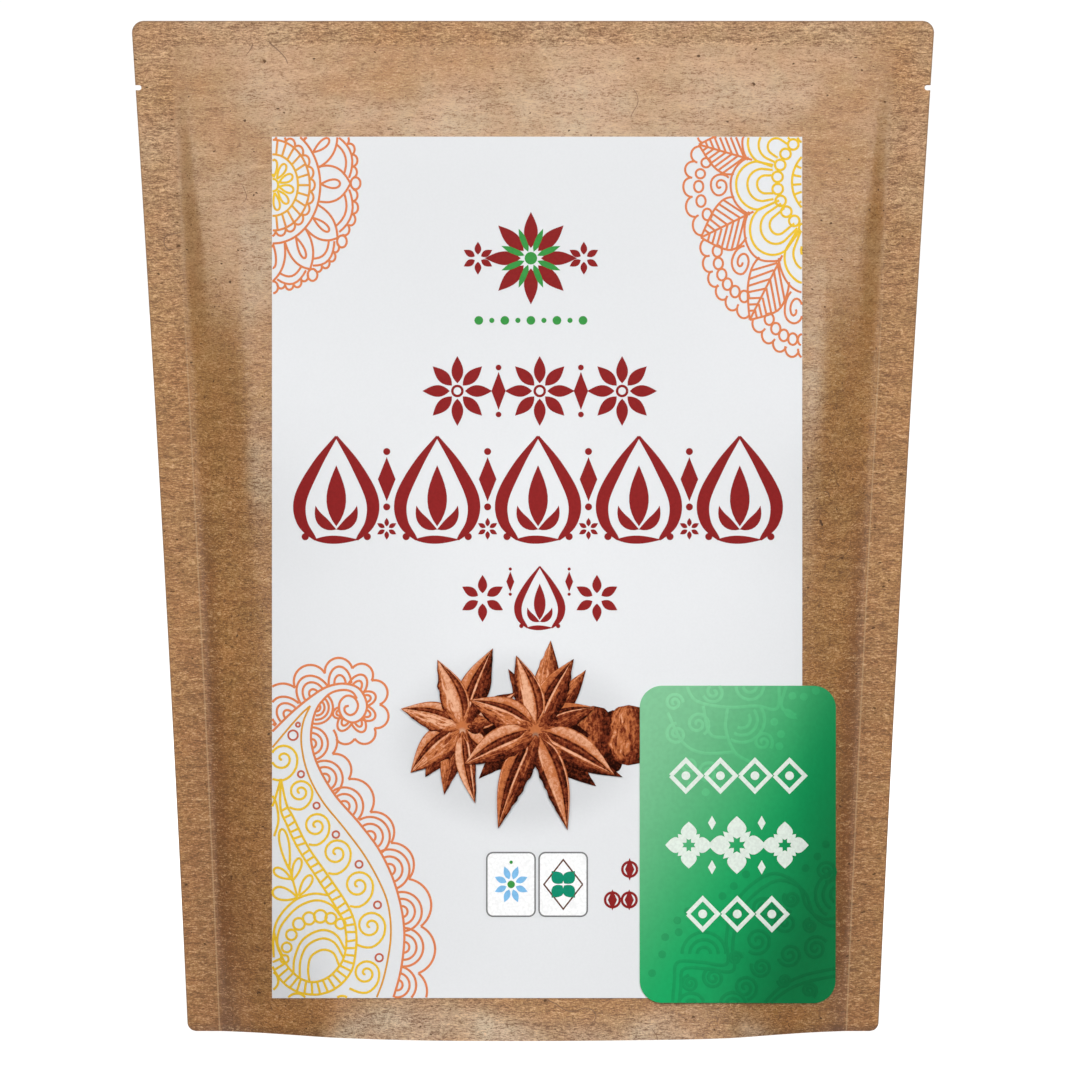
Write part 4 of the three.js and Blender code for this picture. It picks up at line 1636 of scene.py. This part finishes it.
class POUCH_OT_anise(Operator):
    """Prints the picture of the dried star-shaped fruit"""

    bl_idname = "pouch.anise"
    bl_label = "Spice picture"

    def execute(self, context):
        colours = context.scene.print_colours
        material = anise_material(colours)
        self.layer = context.scene.sticker_sizes.label_lift + PICTURE_LIFT
        lumps = [self.arm(*ends, width, 1, 0, tone, True) for *ends, width, tone in LUMPS]
        self.gather("anise_lumps", lumps, material)
        for fruit, (middle, arms) in FRUITS.items():
            sheets = []
            for tip, *look in arms:
                way = (tip - middle) / abs(tip - middle)
                sheets.append(self.arm(middle + 0.6 * way, tip, *look))
            self.gather("anise_" + fruit, sheets, material)
            if fruit != "back":
                middle_ink = tinted(colours.anise_lip, 0.75 if fruit == "left" else 0.35)
                name = "ink_knot_" + fruit
                knot = ink_material(name, middle_ink, colours.anise_inside, middle, 0.3, 1.3)
                rise = (self.layer - context.scene.sticker_sizes.label_lift) / MM
                boss = [disc(middle, 1.2), *rosette(middle, 1.9, 8, 0.5, 22.5)]
                draw("anise_knot_" + fruit, boss, 0.4, knot, context, raised=rise)
        return {"FINISHED"}

    def arm(self, base, tip, width, husk, inside_tone, husk_tone, blunt=False):
        self.layer += ARM_LAYER
        return follicle(
            base, tip, width, husk, inside_tone, husk_tone, self.layer, bpy.context, blunt
        )

    def gather(self, name, sheets, material):
        """Joins the arms of a fruit into one thin printed piece."""
        pick(*sheets)
        bpy.ops.object.join()
        picture = bpy.context.object
        picture.name = picture.data.name = name
        apply_modifier(picture, "SOLIDIFY", thickness=PICTURE_THICKNESS, offset=-1)
        shade(picture)
        finish_piece(picture, None, material)


class POUCH_OT_badge_print(Operator):
    """Prints the badge: tone-on-tone lace and three white rows"""

    bl_idname = "pouch.badge_print"
    bl_label = "Badge print"

    def execute(self, context):
        colours = context.scene.pouch_colours
        light = badge_material(colours, "badge_light_ink", 1.16)
        dark = badge_material(colours, "badge_dark_ink", 0.82)
        draw("badge_lace_light", light_lace(), 0.75, light, context, True)
        draw("badge_lace_dark", dark_lace(), 0.8, dark, context, True)
        white = ink_material("ink_white", context.scene.print_colours.white)
        fine, bold = badge_rows()
        draw("badge_rows_fine", fine, 1.0, white, context, True, 0.02)
        draw("badge_row_bold", bold, 1.0, white, context, True, 0.02)
        return {"FINISHED"}


# ---- Stage ----

VIEW_WIDTH = 1066 / 4.2 * MM  # what the view spans at the seals' plane, at 4.2 pixels a mm
VIEW_DISTANCE = 3.0
VIEW_LEVEL = 0.205  # height of the camera
AIM_LEVEL = 0.1188  # height of the point that it looks at
LIGHT_AIM_LEVEL = 0.12  # height of the point that the lights face


def area_light(name, azimuth, elevation, distance, size, power):
    """A softbox that faces the bag; azimuth 0 is in front of it."""
    light = bpy.data.lights.new(name, "AREA")
    light.shape = "RECTANGLE"
    light.size, light.size_y = size
    light.energy = power
    holder = bpy.data.objects.new(name, light)
    bpy.context.scene.collection.objects.link(holder)
    holder.visible_camera = False
    around = math.radians(azimuth)
    above = math.radians(elevation)
    away = Vector((math.sin(around), -math.cos(around), 0)) * math.cos(above)
    away.z = math.sin(above)
    holder.location = Vector((0, 0, LIGHT_AIM_LEVEL)) + away * distance
    holder.rotation_euler = away.to_track_quat("Z", "Y").to_euler()


def floor_material():
    """White, and lit from within where the camera looks at it, as on a light table."""
    material, tree, shader = new_material("white_floor")
    shader.inputs["Base Color"].default_value = (0.3, 0.3, 0.3, 1)
    shader.inputs["Roughness"].default_value = 0.9
    shader.inputs["Emission Color"].default_value = (1, 1, 1, 1)
    seen = add(tree, "ShaderNodeLightPath").outputs["Is Camera Ray"]
    away = distance_in(tree, object_points(tree))
    glow = product(tree, seen, remap(tree, away, 0.15, 0.6, 0.8, 1.1))
    tree.links.new(glow, shader.inputs["Emission Strength"])
    return material


class POUCH_OT_stage(Operator):
    """Adds the white floor, the lights and the camera"""

    bl_idname = "pouch.stage"
    bl_label = "Stage"

    def execute(self, context):
        scene = context.scene
        bpy.ops.object.select_all(action="DESELECT")
        bpy.ops.mesh.primitive_plane_add(size=30)
        floor = bpy.context.object
        floor.name = "floor"
        floor.data.materials.append(floor_material())

        scene.world = bpy.data.worlds.new("white_room")
        scene.world.use_nodes = True
        tree = scene.world.node_tree
        seen = add(tree, "ShaderNodeLightPath").outputs["Is Camera Ray"]
        strength = calculate(tree, "ADD", product(tree, seen, 0.9), 0.14)
        background = tree.nodes["Background"]
        background.inputs["Color"].default_value = (1, 1, 1, 1)
        tree.links.new(strength, background.inputs["Strength"])

        area_light("softbox_above", 0, 48, 1.2, (0.9, 0.5), 5.5)
        area_light("softbox_front", 0, 8, 2.2, (0.8, 0.8), 4.5)
        area_light("softbox_left", -46, 22, 1.6, (1.0, 1.0), 11.2)
        area_light("softbox_right", 46, 22, 1.6, (1.0, 1.0), 12.3)
        area_light("softbox_back", 180, 30, 1.6, (1.4, 1.0), 15.0)

        camera = bpy.data.cameras.new("camera")
        holder = bpy.data.objects.new("camera", camera)
        scene.collection.objects.link(holder)
        camera.sensor_width = 36
        camera.lens = camera.sensor_width * VIEW_DISTANCE / VIEW_WIDTH
        camera.clip_end = 100
        holder.location = (0, -VIEW_DISTANCE, VIEW_LEVEL)
        aim = Vector((0, 0, AIM_LEVEL)) - holder.location
        holder.rotation_euler = aim.to_track_quat("-Z", "Y").to_euler()
        scene.camera = holder
        scene.view_settings.view_transform = "Standard"
        scene.view_settings.look = "None"
        return {"FINISHED"}


# ---- Add-on ----


class POUCH_PT_panel(Panel):
    """Lists the pieces in the order in which they are made"""

    bl_label = "Kraft Pouch"
    bl_idname = "POUCH_PT_panel"
    bl_space_type = "VIEW_3D"
    bl_region_type = "UI"
    bl_category = "Pouch"

    def draw(self, context):
        for operator in PIECES:
            self.layout.operator(operator.bl_idname)
        for group in ("pouch_sizes", "sticker_sizes", "pouch_colours", "print_colours"):
            settings = getattr(context.scene, group)
            for name in settings.__annotations__:
                self.layout.prop(settings, name)


PIECES = (
    POUCH_OT_stage,
    POUCH_OT_bag,
    POUCH_OT_label,
    POUCH_OT_badge,
    POUCH_OT_mandalas,
    POUCH_OT_paisley,
    POUCH_OT_friezes,
    POUCH_OT_cards,
    POUCH_OT_anise,
    POUCH_OT_badge_print,
)
CLASSES = (PouchSizes, StickerSizes, PouchColours, PrintColours, *PIECES, POUCH_PT_panel)


def register():
    for cls in CLASSES:
        bpy.utils.register_class(cls)
    bpy.types.Scene.pouch_sizes = PointerProperty(type=PouchSizes)
    bpy.types.Scene.sticker_sizes = PointerProperty(type=StickerSizes)
    bpy.types.Scene.pouch_colours = PointerProperty(type=PouchColours)
    bpy.types.Scene.print_colours = PointerProperty(type=PrintColours)


def unregister():
    del bpy.types.Scene.print_colours
    del bpy.types.Scene.pouch_colours
    del bpy.types.Scene.sticker_sizes
    del bpy.types.Scene.pouch_sizes
    for cls in reversed(CLASSES):
        bpy.utils.unregister_class(cls)


def main():
    register()
    bpy.ops.pouch.stage()
    bpy.ops.pouch.bag()
    bpy.ops.pouch.label()
    bpy.ops.pouch.badge()
    bpy.ops.pouch.mandalas()
    bpy.ops.pouch.paisley()
    bpy.ops.pouch.friezes()
    bpy.ops.pouch.cards()
    bpy.ops.pouch.anise()
    bpy.ops.pouch.badge_print()


if __name__ == "__main__":
    main()
